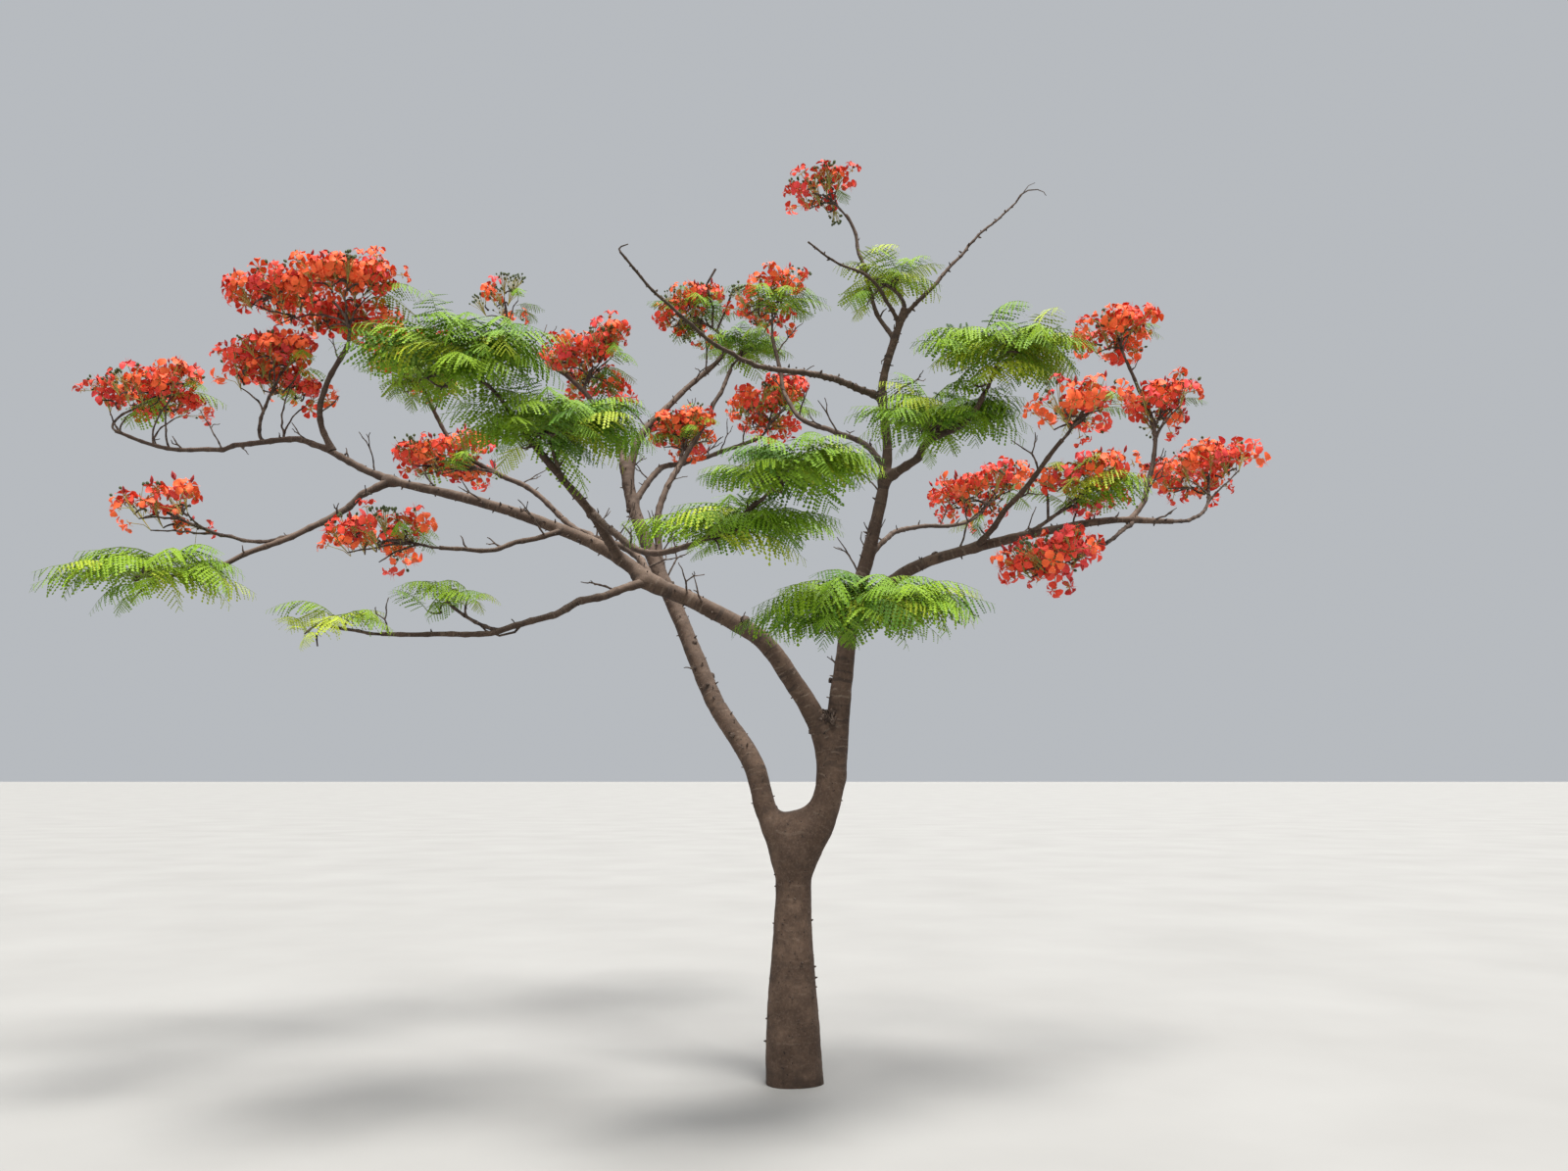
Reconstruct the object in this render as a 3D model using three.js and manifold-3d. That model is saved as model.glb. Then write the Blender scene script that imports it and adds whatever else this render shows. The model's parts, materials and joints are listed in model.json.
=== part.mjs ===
// Flame tree: a rooted trunk with a low fork, its main boughs, and the masses of leaves and blossom on them.
// Millimetres, +Z up. The origin is the middle of the flat cut at ground level, and +X runs along the crown.
import * as THREE from "three";
import { mergeVertices } from "three/addons/utils/BufferGeometryUtils.js";
import Module from "manifold-3d";

const wasm = await Module();
wasm.setup();

// Driving dimensions of the trunk: it narrows from its foot to a waist and widens again into the fork.
const FOOT_RADIUS = 150;
const WAIST_HEIGHT = 1040;
const WAIST_RADIUS = 95;
const FORK_HEIGHT = 1405;
const FORK_HALF_WIDTH = 212;
const FORK_HALF_DEPTH = 100;
const FORK_OPENING = 1.35;
const FORK_LEAN = 22;
const WAIST_LEAN = 6;
const TRUNK_SIDES = 14;
const TRUNK_STEPS = 8;

// Sizes that all limbs share.
const LIMB_TAPER = 1.2;
const LIMB_STEP = 250;
const LIMB_SIDES_FEWEST = 5;
const LIMB_RADIUS_PER_SIDE = 22;
const SEAM_GAP = 0.3;

// Sizes that all masses share.
const STEM_LEAVES_ALONG = 0.4;
const STEM_RADIUS_SHARE = 0.9;
const STEM_RADIUS_MOST = 16;
const STEM_TIP_RADIUS = 9;
const STEM_SIDES = 4;
const STEM_STEPS = 3;
const LEAF_TWIG_RADIUS = 8;
const BLOOM_TWIG_RADIUS = 6;
const TWIG_TAPER = 0.75;
const FIRST_TWIG = 0.35;
const LAST_TWIG = 0.98;
const TURN_DRAW = 0.8;
const SPREAD_DRAW = 0.16;
const LEAF_LENGTH_MOST = 470;
const LEAF_LENGTH_LEAST = 160;
const LEAF_WIDTH_SHARE = 0.4;
const LEAF_THICKNESS_SHARE = 0.024;
const LEAF_ROOT_RADIUS = 3;
const LEAF_SAG = 0.3;
const LEAF_ARCH = 0.3;
const LEAF_TURN = 1.3;
const LEAF_RISE = 0.9;
const LEAF_TIERS = 1.9;
const LEAF_PHASE = 0.35;
const LEAF_SPREAD = 0.26;
const LAST_LEAF = 0.92;
const LEAF_STEP = 0.2;
const LEAF_LIFT = 0.1;
const LEAF_LIFT_RISE = 0.25;
const BLOOM_FALL = 1.5;
const BLOOM_PHASE = 0.1;
const BLOOM_SPREAD = 0.82;
const BLOOM_INSET = 0.8;
const BLOOM_SPACING = 0.66;
const LEAVES_A_TWIG = 4;
const BLOOM_RADIUS = 104;
const BLOOM_FLATNESS = 0.72;
const BLOOM_TILT = Math.PI / 5;
const SPACE_MARGIN = 0.03;
const LIMB_MARGIN = 10;
const ENTRY_DEPTH = 0.8;
const OBSTACLE_DEPTH = 1.4;
const FIRST_SEED = 101;
const TWIG_TESTS = [0.3, 0.48, 0.65, 0.83, 1];
const SIZE_TRIES = [1, 0.8, 0.62];
const TURN_TRIES = [0, 0.5, -0.5, 1];
const GOLDEN_ANGLE = 2.399963;
const GOLDEN_SHARE = 0.618034;

const UP = new THREE.Vector3(0, 0, 1);

// Each limb starts inside its parent, at a share of the parent's way, and bends through a few points.
const LIMBS = {
  leader: {
    parent: "trunk", at: 0.84, radius: [94, 22], taper: 1.9,
    way: [[125, 0, 1340], [190, 0, 1470], [218, 0, 1680], [262, 25, 2150], [345, 60, 2550], [530, 70, 3380],
      [512, 35, 3800], [640, 0, 4240]],
  },
  stem_back: {
    parent: "trunk", at: 0.82, radius: [62, 36], taper: 1,
    way: [[-146, 40, 1400], [-184, 85, 1530], [-222, 130, 1660], [-455, 320, 2040], [-720, 600, 2640],
      [-1010, 880, 3280], [-1070, 1000, 3580]],
  },
  bough_left_low: {
    parent: "leader", at: 0.15, radius: [60, 40],
    way: [[125, -50, 1880], [-20, -120, 2120], [-190, -200, 2340], [-490, -260, 2490], [-820, -280, 2640]],
  },
  bough_left_mid: {
    parent: "bough_left_low", at: 0.94, radius: [39, 23],
    way: [[-1020, -240, 2800], [-1550, -100, 3040], [-2300, 50, 3250]],
  },
  bough_left_tip: {
    parent: "bough_left_mid", at: 0.97, radius: [22, 10],
    way: [[-2840, 200, 3510], [-3280, 300, 3500], [-3680, 380, 3510], [-4040, 420, 3630]],
  },
  riser_left: {
    parent: "bough_left_tip", at: 0.24, radius: [18, 13],
    way: [[-2715, 120, 3610], [-2680, 100, 3820], [-2540, 60, 4100], [-2600, 70, 4250]],
  },
  bough_left_drop: {
    parent: "bough_left_mid", at: 0.98, radius: [21, 11],
    way: [[-2470, -50, 3070], [-2740, -250, 2850], [-2920, -380, 2730], [-3180, -600, 2500]],
  },
  bough_front_low: {
    parent: "bough_left_low", at: 0.97, radius: [23, 9],
    way: [[-1080, -600, 2460], [-1450, -1000, 2270], [-2030, -1400, 2220]],
  },
  spur_under: {
    parent: "bough_left_mid", at: 0.35, radius: [16, 9],
    way: [[-1620, -500, 2750], [-1900, -720, 2740]],
  },
  bough_front_left: {
    parent: "bough_left_mid", at: 0.14, radius: [28, 11],
    way: [[-1050, -500, 2940], [-1310, -980, 3240], [-1490, -1250, 3510]],
  },
  bough_front: {
    parent: "bough_front_left", at: 0.3, radius: [19, 10],
    way: [[-710, -950, 2670], [-310, -1400, 2690], [-50, -1750, 2860]],
  },
  bough_back_left: {
    parent: "bough_left_low", at: 0.95, radius: [22, 12],
    way: [[-830, -100, 2770], [-1280, 450, 3040], [-1570, 700, 3300], [-2140, 1030, 3670],
      [-2400, 1090, 4060]],
  },
  riser_back: {
    parent: "stem_back", at: 0.7, radius: [23, 13],
    way: [[-840, 850, 3250], [-620, 1250, 3820], [-410, 1650, 4430]],
  },
  stem_back_right: {
    parent: "stem_back", at: 0.94, radius: [28, 13],
    way: [[-990, 1100, 3770], [-770, 1400, 4130], [-460, 1800, 4630], [-620, 1900, 4850]],
  },
  stem_back_left: {
    parent: "stem_back", at: 0.98, radius: [24, 12],
    way: [[-1160, 1200, 3840], [-1390, 1450, 4150], [-1960, 1800, 4700]],
  },
  bough_back: {
    parent: "stem_back", at: 0.88, radius: [22, 12],
    way: [[-870, 1200, 3580], [-660, 1600, 3740], [-120, 2150, 4080]],
  },
  arm_left: {
    parent: "leader", at: 0.83, radius: [20, 6],
    way: [[220, -120, 3800], [-290, -500, 3780], [-670, -850, 3980], [-860, -1000, 4160]],
  },
  arm_back: {
    parent: "leader", at: 0.7, radius: [18, 11],
    way: [[440, 250, 3500], [240, 500, 3650], [10, 800, 3870], [-160, 1150, 4600]],
  },
  bough_right: {
    parent: "leader", at: 0.43, radius: [38, 15],
    way: [[600, -120, 2690], [920, -250, 2790], [1640, -250, 2950], [2090, -100, 2980]],
  },
  riser_right: {
    parent: "bough_right", at: 0.86, radius: [15, 9],
    way: [[1940, -100, 3130], [2050, 50, 3530], [1910, 150, 4050]],
  },
  riser_right_front: {
    parent: "bough_right", at: 0.41, radius: [17, 10],
    way: [[1190, -700, 3060], [1320, -950, 3230], [1420, -1030, 3300]],
  },
  bough_right_back: {
    parent: "leader", at: 0.51, radius: [17, 10],
    way: [[520, 300, 2940], [760, 700, 3100], [1120, 1100, 3210], [1360, 1400, 3400]],
  },
  arm_right: {
    parent: "leader", at: 0.68, radius: [26, 12],
    way: [[680, -80, 3330], [740, -200, 3410], [930, -450, 3470], [1060, -600, 3700]],
  },
  riser_top: {
    parent: "leader", at: 0.94, radius: [13, 9],
    way: [[500, 80, 4230], [440, 140, 4440], [330, 230, 4880], [220, 240, 5020]],
  },
  arm_top_right: {
    parent: "leader", at: 0.98, radius: [13, 5],
    way: [[820, 100, 4420], [1070, 250, 4740], [1370, 420, 5070]],
  },
  arm_top_left: {
    parent: "leader", at: 0.97, radius: [12, 5],
    way: [[430, -150, 4350], [220, -300, 4400], [80, -420, 4460]],
  },
};

// Each mass fills its own space round a centre, on a stem from its limb's tip, or from the limb's side.
const MASSES = {
  blossom_left_end: {
    limb: "bough_left_tip", centre: [-3800, 420, 3850], reach: [430, 320, 230], leaves: 3, blooms: 9,
  },
  blossom_left_high: {
    limb: "riser_left", centre: [-2660, 80, 4310], reach: [620, 430, 330], leaves: 2, blooms: 18,
  },
  blossom_left_mid: {
    limb: "bough_left_tip", at: 0.46, centre: [-3000, 250, 3950], reach: [380, 370, 330],
    leaves: 3, blooms: 12,
  },
  blossom_left_drop: {
    limb: "bough_left_drop", at: 0.6, centre: [-3260, -500, 2950], reach: [280, 270, 220],
    leaves: 3, blooms: 5,
  },
  leaves_left_drop: {
    limb: "bough_left_drop", centre: [-3290, -620, 2600], reach: [520, 450, 260], leaves: 12, blooms: 0,
  },
  leaves_front_low_tip: {
    limb: "bough_front_low", centre: [-2080, -1420, 2260], reach: [300, 300, 170], leaves: 5, blooms: 0,
  },
  leaves_front_low: {
    limb: "bough_front_low", at: 0.6, centre: [-1620, -1150, 2400], reach: [270, 290, 160],
    leaves: 8, blooms: 0,
  },
  blossom_under: {
    limb: "spur_under", centre: [-2040, -750, 2760], reach: [340, 300, 200], leaves: 4, blooms: 5,
  },
  leaves_front_left_high: {
    limb: "bough_front_left", centre: [-1600, -1250, 3540], reach: [560, 480, 300], leaves: 16, blooms: 0,
  },
  leaves_front_left_low: {
    limb: "bough_front_left", at: 0.5, centre: [-1200, -950, 3260], reach: [520, 450, 320],
    leaves: 18, blooms: 0,
  },
  leaves_back_left: {
    limb: "bough_back_left", centre: [-2470, 1100, 4240], reach: [380, 420, 310], leaves: 8, blooms: 2,
  },
  blossom_back_left: {
    limb: "bough_back_left", at: 0.68, centre: [-2180, 950, 3580], reach: [410, 340, 240],
    leaves: 3, blooms: 7,
  },
  blossom_buds: {
    limb: "stem_back_left", centre: [-2060, 1850, 4950], reach: [290, 290, 310], leaves: 3, blooms: 5,
  },
  blossom_back_high: {
    limb: "stem_back_left", at: 0.5, centre: [-1360, 1500, 4380], reach: [380, 380, 430],
    leaves: 4, blooms: 9,
  },
  blossom_hub_left: {
    limb: "stem_back_right", centre: [-720, 1900, 4880], reach: [310, 350, 320], leaves: 4, blooms: 5,
  },
  blossom_hub_right: {
    limb: "arm_back", centre: [-120, 1150, 4700], reach: [340, 350, 310], leaves: 5, blooms: 5,
  },
  blossom_pillar: {
    limb: "bough_back", centre: [-140, 2150, 4240], reach: [360, 330, 360], leaves: 3, blooms: 7,
  },
  blossom_back_mid: {
    limb: "riser_back", at: 0.4, centre: [-700, 1300, 3850], reach: [300, 290, 240], leaves: 3, blooms: 5,
  },
  leaves_back_high: {
    limb: "riser_back", centre: [-330, 1700, 4560], reach: [340, 330, 220], leaves: 9, blooms: 0,
  },
  leaves_front_tip: {
    limb: "bough_front", centre: [0, -1750, 2880], reach: [380, 430, 190], leaves: 14, blooms: 0,
  },
  leaves_front_mid: {
    limb: "bough_front", at: 0.55, centre: [-270, -1380, 2700], reach: [490, 410, 180],
    leaves: 14, blooms: 0,
  },
  leaves_spur_front: {
    limb: "leader", at: 0.38, via: [330, -560, 2480],
    centre: [310, -1150, 2370], reach: [640, 450, 220], leaves: 20, blooms: 0,
  },
  leaves_right_high: {
    limb: "arm_right", centre: [1090, -600, 3780], reach: [480, 460, 290], leaves: 16, blooms: 0,
  },
  leaves_right_low: {
    limb: "arm_right", at: 0.5, centre: [780, -330, 3500], reach: [480, 420, 280], leaves: 13, blooms: 0,
  },
  blossom_top: {
    limb: "riser_top", centre: [180, 240, 5040], reach: [240, 250, 230], leaves: 1, blooms: 7,
  },
  leaves_top: {
    limb: "leader", centre: [490, 0, 4400], reach: [370, 350, 230], leaves: 10, blooms: 0,
  },
  blossom_right_top: {
    limb: "riser_right", centre: [1890, 150, 4130], reach: [270, 260, 200], leaves: 3, blooms: 6,
  },
  blossom_right_mid: {
    limb: "riser_right", at: 0.55, centre: [2100, 50, 3660], reach: [270, 290, 230], leaves: 2, blooms: 7,
  },
  blossom_right_front: {
    limb: "riser_right_front", centre: [1400, -1000, 3350], reach: [270, 290, 180], leaves: 3, blooms: 7,
  },
  blossom_right_end: {
    limb: "bough_right", centre: [2470, 450, 3370], reach: [380, 350, 230], leaves: 3, blooms: 9,
  },
  blossom_right_under: {
    limb: "bough_right", at: 0.87, via: [1640, -480, 2760],
    centre: [1300, -700, 2660], reach: [320, 290, 190], leaves: 3, blooms: 6,
  },
  blossom_right_back: {
    limb: "bough_right_back", centre: [1310, 1400, 3430], reach: [420, 360, 300], leaves: 5, blooms: 7,
  },
  leaves_right_mid: {
    limb: "bough_right", at: 0.5, centre: [1560, -450, 3110], reach: [330, 340, 190], leaves: 8, blooms: 2,
  },
};

const BARK = new THREE.MeshStandardMaterial({ color: 0x6f6154, roughness: 0.9, metalness: 0 });
const FOLIAGE = new THREE.MeshStandardMaterial({ color: 0x6f9a2e, roughness: 0.7, metalness: 0 });
const BLOSSOM = new THREE.MeshStandardMaterial({ color: 0xd8371c, roughness: 0.6, metalness: 0 });

const vector = (triple) => new THREE.Vector3(...triple);

// A random source that gives the same draws each time for the same seed.
function seeded(seed) {
  let state = seed >>> 0;
  return () => {
    state = (Math.imul(state, 1664525) + 1013904223) >>> 0;
    return state / 2 ** 32;
  };
}

// A closed geometry as a solid that can be joined and cut.
function solidOf(geometry) {
  geometry.deleteAttribute("normal");
  geometry.deleteAttribute("uv");
  const merged = mergeVertices(geometry, 1e-3);
  return new wasm.Manifold(new wasm.Mesh({
    numProp: 3,
    vertProperties: merged.attributes.position.array,
    triVerts: new Uint32Array(merged.index.array),
  }));
}

// The largest body of a solid: loose scraps are dropped and sealed hollows filled.
function largestBody(solid) {
  return solid.decompose().reduce((most, body) => (body.volume() > most.volume() ? body : most));
}

function meshOf(name, solid, material) {
  const { vertProperties, triVerts } = solid.getMesh();
  const geometry = new THREE.BufferGeometry();
  geometry.setAttribute("position", new THREE.BufferAttribute(vertProperties, 3));
  geometry.setIndex(new THREE.BufferAttribute(triVerts, 1));
  geometry.computeVertexNormals();
  const mesh = new THREE.Mesh(geometry, material);
  mesh.name = name;
  return mesh;
}

// A straight column bent along stations: each has its middle, its section's two directions, and half sizes.
function bentColumn(stations, sides, pointed) {
  const steps = stations.length - 1;
  const column = new THREE.CylinderGeometry(pointed ? 0 : 1, 1, steps, sides, steps);
  const at = column.attributes.position;
  const place = new THREE.Vector3();
  for (let i = 0; i < at.count; i++) {
    place.fromBufferAttribute(at, i);
    const station = stations[Math.round(place.y + steps / 2)];
    const spread = Math.hypot(place.x, place.z);
    const across = spread > 1e-6 ? 1 / spread : 0;
    const bent = station.point.clone()
      .addScaledVector(station.side, place.x * across * station.width)
      .addScaledVector(station.face, -place.z * across * station.depth);
    at.setXYZ(i, bent.x, bent.y, bent.z);
  }
  return solidOf(column);
}

// Stations of a round limb up to a share of its way, larger all round by grow.
function roundStations(curve, end, steps, radiusAt, sides, grow) {
  const frames = curve.computeFrenetFrames(steps);
  const swell = grow / Math.cos(Math.PI / sides);
  return Array.from({ length: steps + 1 }, (_, i) => {
    const share = end * i / steps;
    const tangent = curve.getTangentAt(share);
    const side = frames.normals[i].clone().projectOnPlane(tangent).normalize();
    const push = grow * ((i === steps) - (i === 0));
    const radius = radiusAt(share) + swell;
    return {
      point: curve.getPointAt(share).addScaledVector(tangent, push),
      side,
      face: new THREE.Vector3().crossVectors(tangent, side),
      width: radius,
      depth: radius,
    };
  });
}

// The trunk's middle and half sizes at a height, from the foot through the waist to the fork.
function trunkStation(height, grow) {
  const below = Math.min(height / WAIST_HEIGHT, 1);
  const above = Math.max(height - WAIST_HEIGHT, 0) / (FORK_HEIGHT - WAIST_HEIGHT);
  const column = WAIST_RADIUS + (FOOT_RADIUS - WAIST_RADIUS) * (1 + Math.cos(Math.PI * below)) / 2;
  const opening = above ** FORK_OPENING;
  return {
    point: new THREE.Vector3(FORK_LEAN * opening - WAIST_LEAN * Math.sin(Math.PI * below), 0, height),
    side: new THREE.Vector3(1, 0, 0),
    face: new THREE.Vector3(0, 1, 0),
    width: column + (FORK_HALF_WIDTH - WAIST_RADIUS) * opening + grow,
    depth: column + (FORK_HALF_DEPTH - WAIST_RADIUS) * opening + grow,
  };
}

function trunkSolid(grow) {
  const top = FORK_HEIGHT + grow;
  const heights = Array.from({ length: TRUNK_STEPS + 1 }, (_, i) => top * i / TRUNK_STEPS);
  return bentColumn(heights.map((height) => trunkStation(height, grow)), TRUNK_SIDES, false);
}

// How far a point lies from a mass's centre, where 1 is the edge of the mass's space.
function depthIn(mass, point) {
  return point.clone().sub(mass.middle).divide(mass.extent).length();
}

// Points with their radius along a limb, for tests of what touches it.
function lineAlong(curve, end, steps, radiusAt) {
  return Array.from({ length: steps + 1 }, (_, i) => {
    const share = end * i / steps;
    return { point: curve.getPointAt(share), radius: radiusAt(share) };
  });
}

// A limb as a record that its children and masses read: its way, its radius along it, and where it ends.
function traceLimb(name, parent) {
  const { at, radius, taper = LIMB_TAPER, way } = LIMBS[name];
  const start = parent ? parent.curve.getPointAt(at * parent.end) : trunkStation(FORK_HEIGHT * at, 0).point;
  const curve = new THREE.CatmullRomCurve3([start, ...way.map(vector)], false, "centripetal");
  const ending = Object.values(MASSES).find((mass) => mass.limb === name && mass.at === undefined);
  let end = 1;
  while (ending && depthIn(ending, curve.getPointAt(end)) < ENTRY_DEPTH) {
    end -= 0.01;
  }
  const radiusAt = (share) => radius[1] + (radius[0] - radius[1]) * (1 - share) ** taper;
  const sides = LIMB_SIDES_FEWEST + Math.floor(radius[0] / LIMB_RADIUS_PER_SIDE);
  const steps = Math.max(3, Math.round(curve.getLength() * end / LIMB_STEP));
  const solid = (grow) => bentColumn(roundStations(curve, end, steps, radiusAt, sides, grow), sides, false);
  return { curve, end, radiusAt, solid, line: lineAlong(curve, end, 4 * steps, radiusAt) };
}

// The stem leaves its limb at an acute angle, or goes on from its tip, and ends at the middle of its mass.
function traceStem(mass, limb) {
  const share = (mass.at ?? 1) * limb.end;
  const start = limb.curve.getPointAt(share);
  const tangent = limb.curve.getTangentAt(share);
  const along = start.distanceTo(mass.middle) * STEM_LEAVES_ALONG;
  const bend = mass.via ? vector(mass.via) : start.clone().addScaledVector(tangent, along);
  const setBack = mass.at === undefined ? limb.radiusAt(share) : 0;
  const inside = start.clone().addScaledVector(tangent, -setBack);
  const curve = new THREE.QuadraticBezierCurve3(inside, bend, mass.middle);
  const root = Math.min(limb.radiusAt(share) * STEM_RADIUS_SHARE, STEM_RADIUS_MOST);
  const radiusAt = (s) => STEM_TIP_RADIUS + (root - STEM_TIP_RADIUS) * (1 - s);
  const solid = (grow) => bentColumn(
    roundStations(curve, 1, STEM_STEPS, radiusAt, STEM_SIDES, grow), STEM_SIDES, false,
  );
  return { curve, solid, line: lineAlong(curve, 1, 4 * STEM_STEPS, radiusAt) };
}

// The distance from a point to the way of a limb or stem, less its radius.
function clearance(line, point) {
  let least = Infinity;
  for (let i = 1; i < line.length; i++) {
    const stretch = new THREE.Line3(line[i - 1].point, line[i].point);
    const near = stretch.closestPointToPoint(point, true, new THREE.Vector3());
    least = Math.min(least, near.distanceTo(point) - line[i].radius);
  }
  return least;
}

// True where every point of a piece is inside its mass's own space and clear of every limb and other stem.
function hasRoom(mass, points) {
  return points.every((point) => {
    const depth = depthIn(mass, point);
    if (depth > 1 || point.z < 0) {
      return false;
    }
    const nearerAnother = mass.neighbours.some((other) => depthIn(other, point) < depth + SPACE_MARGIN);
    return !nearerAnother && mass.obstacles.every((line) => clearance(line, point) > LIMB_MARGIN);
  });
}

function twigSolid(line, pointed) {
  const root = pointed ? BLOOM_TWIG_RADIUS : LEAF_TWIG_RADIUS;
  const radiusAt = (share) => root * (1 + (TWIG_TAPER - 1) * share);
  return bentColumn(roundStations(line, 1, 1, radiusAt, 3, 0), 3, pointed);
}

// A leaf is an arched blade of three stations: the root inside its twig, the crest, and the drooping tip.
function growLeaf(mass, root, heading, length, sag) {
  const reach = root.clone().addScaledVector(heading, length);
  const crest = root.clone().addScaledVector(heading, length / 2)
    .addScaledVector(UP, length * sag * LEAF_ARCH);
  const tip = reach.addScaledVector(UP, -length * sag);
  const side = new THREE.Vector3().crossVectors(UP, heading).normalize();
  const face = new THREE.Vector3().crossVectors(heading, side).normalize();
  const width = length * LEAF_WIDTH_SHARE / 2;
  const depth = length * LEAF_THICKNESS_SHARE / 2;
  const edge = [crest.clone().addScaledVector(side, width), crest.clone().addScaledVector(side, -width)];
  const between = [root.clone().lerp(crest, 0.5), crest.clone().lerp(tip, 0.5)];
  if (!hasRoom(mass, [crest, tip, ...edge, ...between])) {
    return null;
  }
  return bentColumn([
    { point: root, side, face, width: LEAF_ROOT_RADIUS, depth: LEAF_ROOT_RADIUS },
    { point: crest, side, face, width, depth },
    { point: tip, side, face, width: 0, depth: 0 },
  ], 3, true);
}

// The length that a leaf may have from its root to the edge of its mass's space.
function leafLength(mass, root, heading) {
  const from = root.clone().sub(mass.middle).divide(mass.extent);
  const step = heading.clone().divide(mass.extent);
  const a = step.lengthSq();
  const b = from.dot(step);
  const room = (-b + Math.sqrt(Math.max(b * b - a * (from.lengthSq() - 1), 0))) / a;
  return Math.min(room * 0.97, LEAF_LENGTH_MOST);
}

// A leaf is turned a little, and then shortened, until it is clear of the leaves already there.
function placeLeaf(mass, blades, root, outward, lift, sag) {
  for (const cut of SIZE_TRIES) {
    for (const aside of TURN_TRIES) {
      const bearing = outward + aside;
      const heading = new THREE.Vector3(Math.cos(bearing), Math.sin(bearing), lift).normalize();
      const length = cut * leafLength(mass, root, heading);
      const leaf = length > LEAF_LENGTH_LEAST ? growLeaf(mass, root, heading, length, sag) : null;
      if (leaf && blades.every((blade) => blade.intersect(leaf).isEmpty())) {
        return leaf;
      }
    }
  }
  return null;
}

// A bloom head is a flattened octahedron, left out where it would crowd its mass's other heads.
function growBloom(mass, heads, centre, radius, turn) {
  if (heads.some((head) => head.centre.distanceTo(centre) < BLOOM_SPACING * (head.radius + radius))) {
    return null;
  }
  const rim = [-radius, radius].flatMap((out) => [[out, 0, 0], [0, out, 0], [0, 0, out * BLOOM_FLATNESS]]);
  if (!hasRoom(mass, rim.map((part) => vector(part).add(centre)))) {
    return null;
  }
  const bloom = new THREE.OctahedronGeometry(radius);
  bloom.rotateX(BLOOM_TILT);
  bloom.rotateZ(turn);
  bloom.scale(1, 1, BLOOM_FLATNESS);
  bloom.translate(centre.x, centre.y, centre.z);
  heads.push({ centre, radius });
  return solidOf(bloom);
}

// Where a twig of a mass leaves the stem and ends: directions follow the golden angle round the mass.
function traceTwig(mass, share, i, blooming, random) {
  const turn = i * GOLDEN_ANGLE + TURN_DRAW * random();
  const rise = blooming
    ? 1 - BLOOM_FALL * ((i * GOLDEN_SHARE + BLOOM_PHASE) % 1)
    : LEAF_RISE * (1 - 2 * ((i * GOLDEN_SHARE + LEAF_PHASE) % 1));
  const ring = Math.sqrt(Math.max(1 - rise * rise, 0));
  const tier = blooming ? rise : rise * LEAF_TIERS;
  const room = mass.extent.clone().subScalar(blooming ? BLOOM_RADIUS * BLOOM_INSET : 0);
  const spread = (blooming ? BLOOM_SPREAD : LEAF_SPREAD) + SPREAD_DRAW * random();
  const end = new THREE.Vector3(ring * Math.cos(turn), ring * Math.sin(turn), tier)
    .multiply(room).multiplyScalar(spread).add(mass.middle);
  const start = mass.stem.curve.getPointAt(FIRST_TWIG + (LAST_TWIG - FIRST_TWIG) * share);
  return { line: new THREE.LineCurve3(start, end), turn, rise, end };
}

// Twigs fan out from the stem. The first few carry leaves, and each of the others ends in one bloom head.
function growMass(mass) {
  const random = seeded(mass.seed);
  const pieces = [mass.stem.solid(0)];
  const heads = [];
  const blades = [];
  const leafTwigs = Math.ceil(mass.leaves / LEAVES_A_TWIG);
  const twigs = leafTwigs + mass.blooms;
  const leavesBefore = (i) => Math.floor(Math.min(i / leafTwigs, 1) * mass.leaves);
  for (let i = 0; i < twigs; i++) {
    const blooming = i >= leafTwigs;
    const { line, turn, rise, end } = traceTwig(mass, (i + 1) / twigs, i, blooming, random);
    const leaves = blooming ? 0 : leavesBefore(i + 1) - leavesBefore(i);
    const draws = Array.from({ length: 2 * leaves }, random);
    if (!hasRoom(mass, TWIG_TESTS.map((share) => line.getPoint(share)))) {
      continue;
    }
    const bloom = (blooming ? SIZE_TRIES : [])
      .reduce((made, size) => made ?? growBloom(mass, heads, end, BLOOM_RADIUS * size, turn), null);
    if (bloom) {
      pieces.push(bloom);
    }
    if (bloom || !blooming) {
      pieces.push(twigSolid(line, blooming));
    }
    for (let k = 0; k < leaves; k++) {
      const root = line.getPointAt(LAST_LEAF - LEAF_STEP * k);
      const outward = turn + (k - (leaves - 1) / 2) * LEAF_TURN + draws[2 * k] - 0.5;
      const sag = LEAF_SAG * (0.6 + 0.8 * draws[2 * k + 1]);
      const leaf = placeLeaf(mass, blades, root, outward, LEAF_LIFT + LEAF_LIFT_RISE * rise, sag);
      if (leaf) {
        blades.push(leaf);
      }
    }
  }
  return [...pieces, ...blades].reduce((joined, piece) => joined.add(piece));
}

// The limbs are traced from the trunk outwards, then the masses are placed and their stems traced.
const masses = Object.entries(MASSES).map(([name, mass], index) => Object.assign(mass, {
  name,
  seed: FIRST_SEED + index,
  middle: vector(mass.centre),
  extent: vector(mass.reach),
}));
const limbs = {};
for (const [name, { parent }] of Object.entries(LIMBS)) {
  limbs[name] = traceLimb(name, limbs[parent]);
}
for (const mass of masses) {
  mass.stem = traceStem(mass, limbs[mass.limb]);
}
for (const mass of masses) {
  const near = (other) => other !== mass && mass.middle.distanceTo(other.middle)
    < Math.max(...mass.reach) + Math.max(...other.reach);
  mass.neighbours = masses.filter(near);
  mass.obstacles = [
    ...Object.values(limbs).map((limb) => limb.line),
    ...masses.filter((other) => other !== mass).map((other) => other.stem.line),
  ].filter((line) => line.some(({ point }) => depthIn(mass, point) < OBSTACLE_DEPTH));
}

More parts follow.
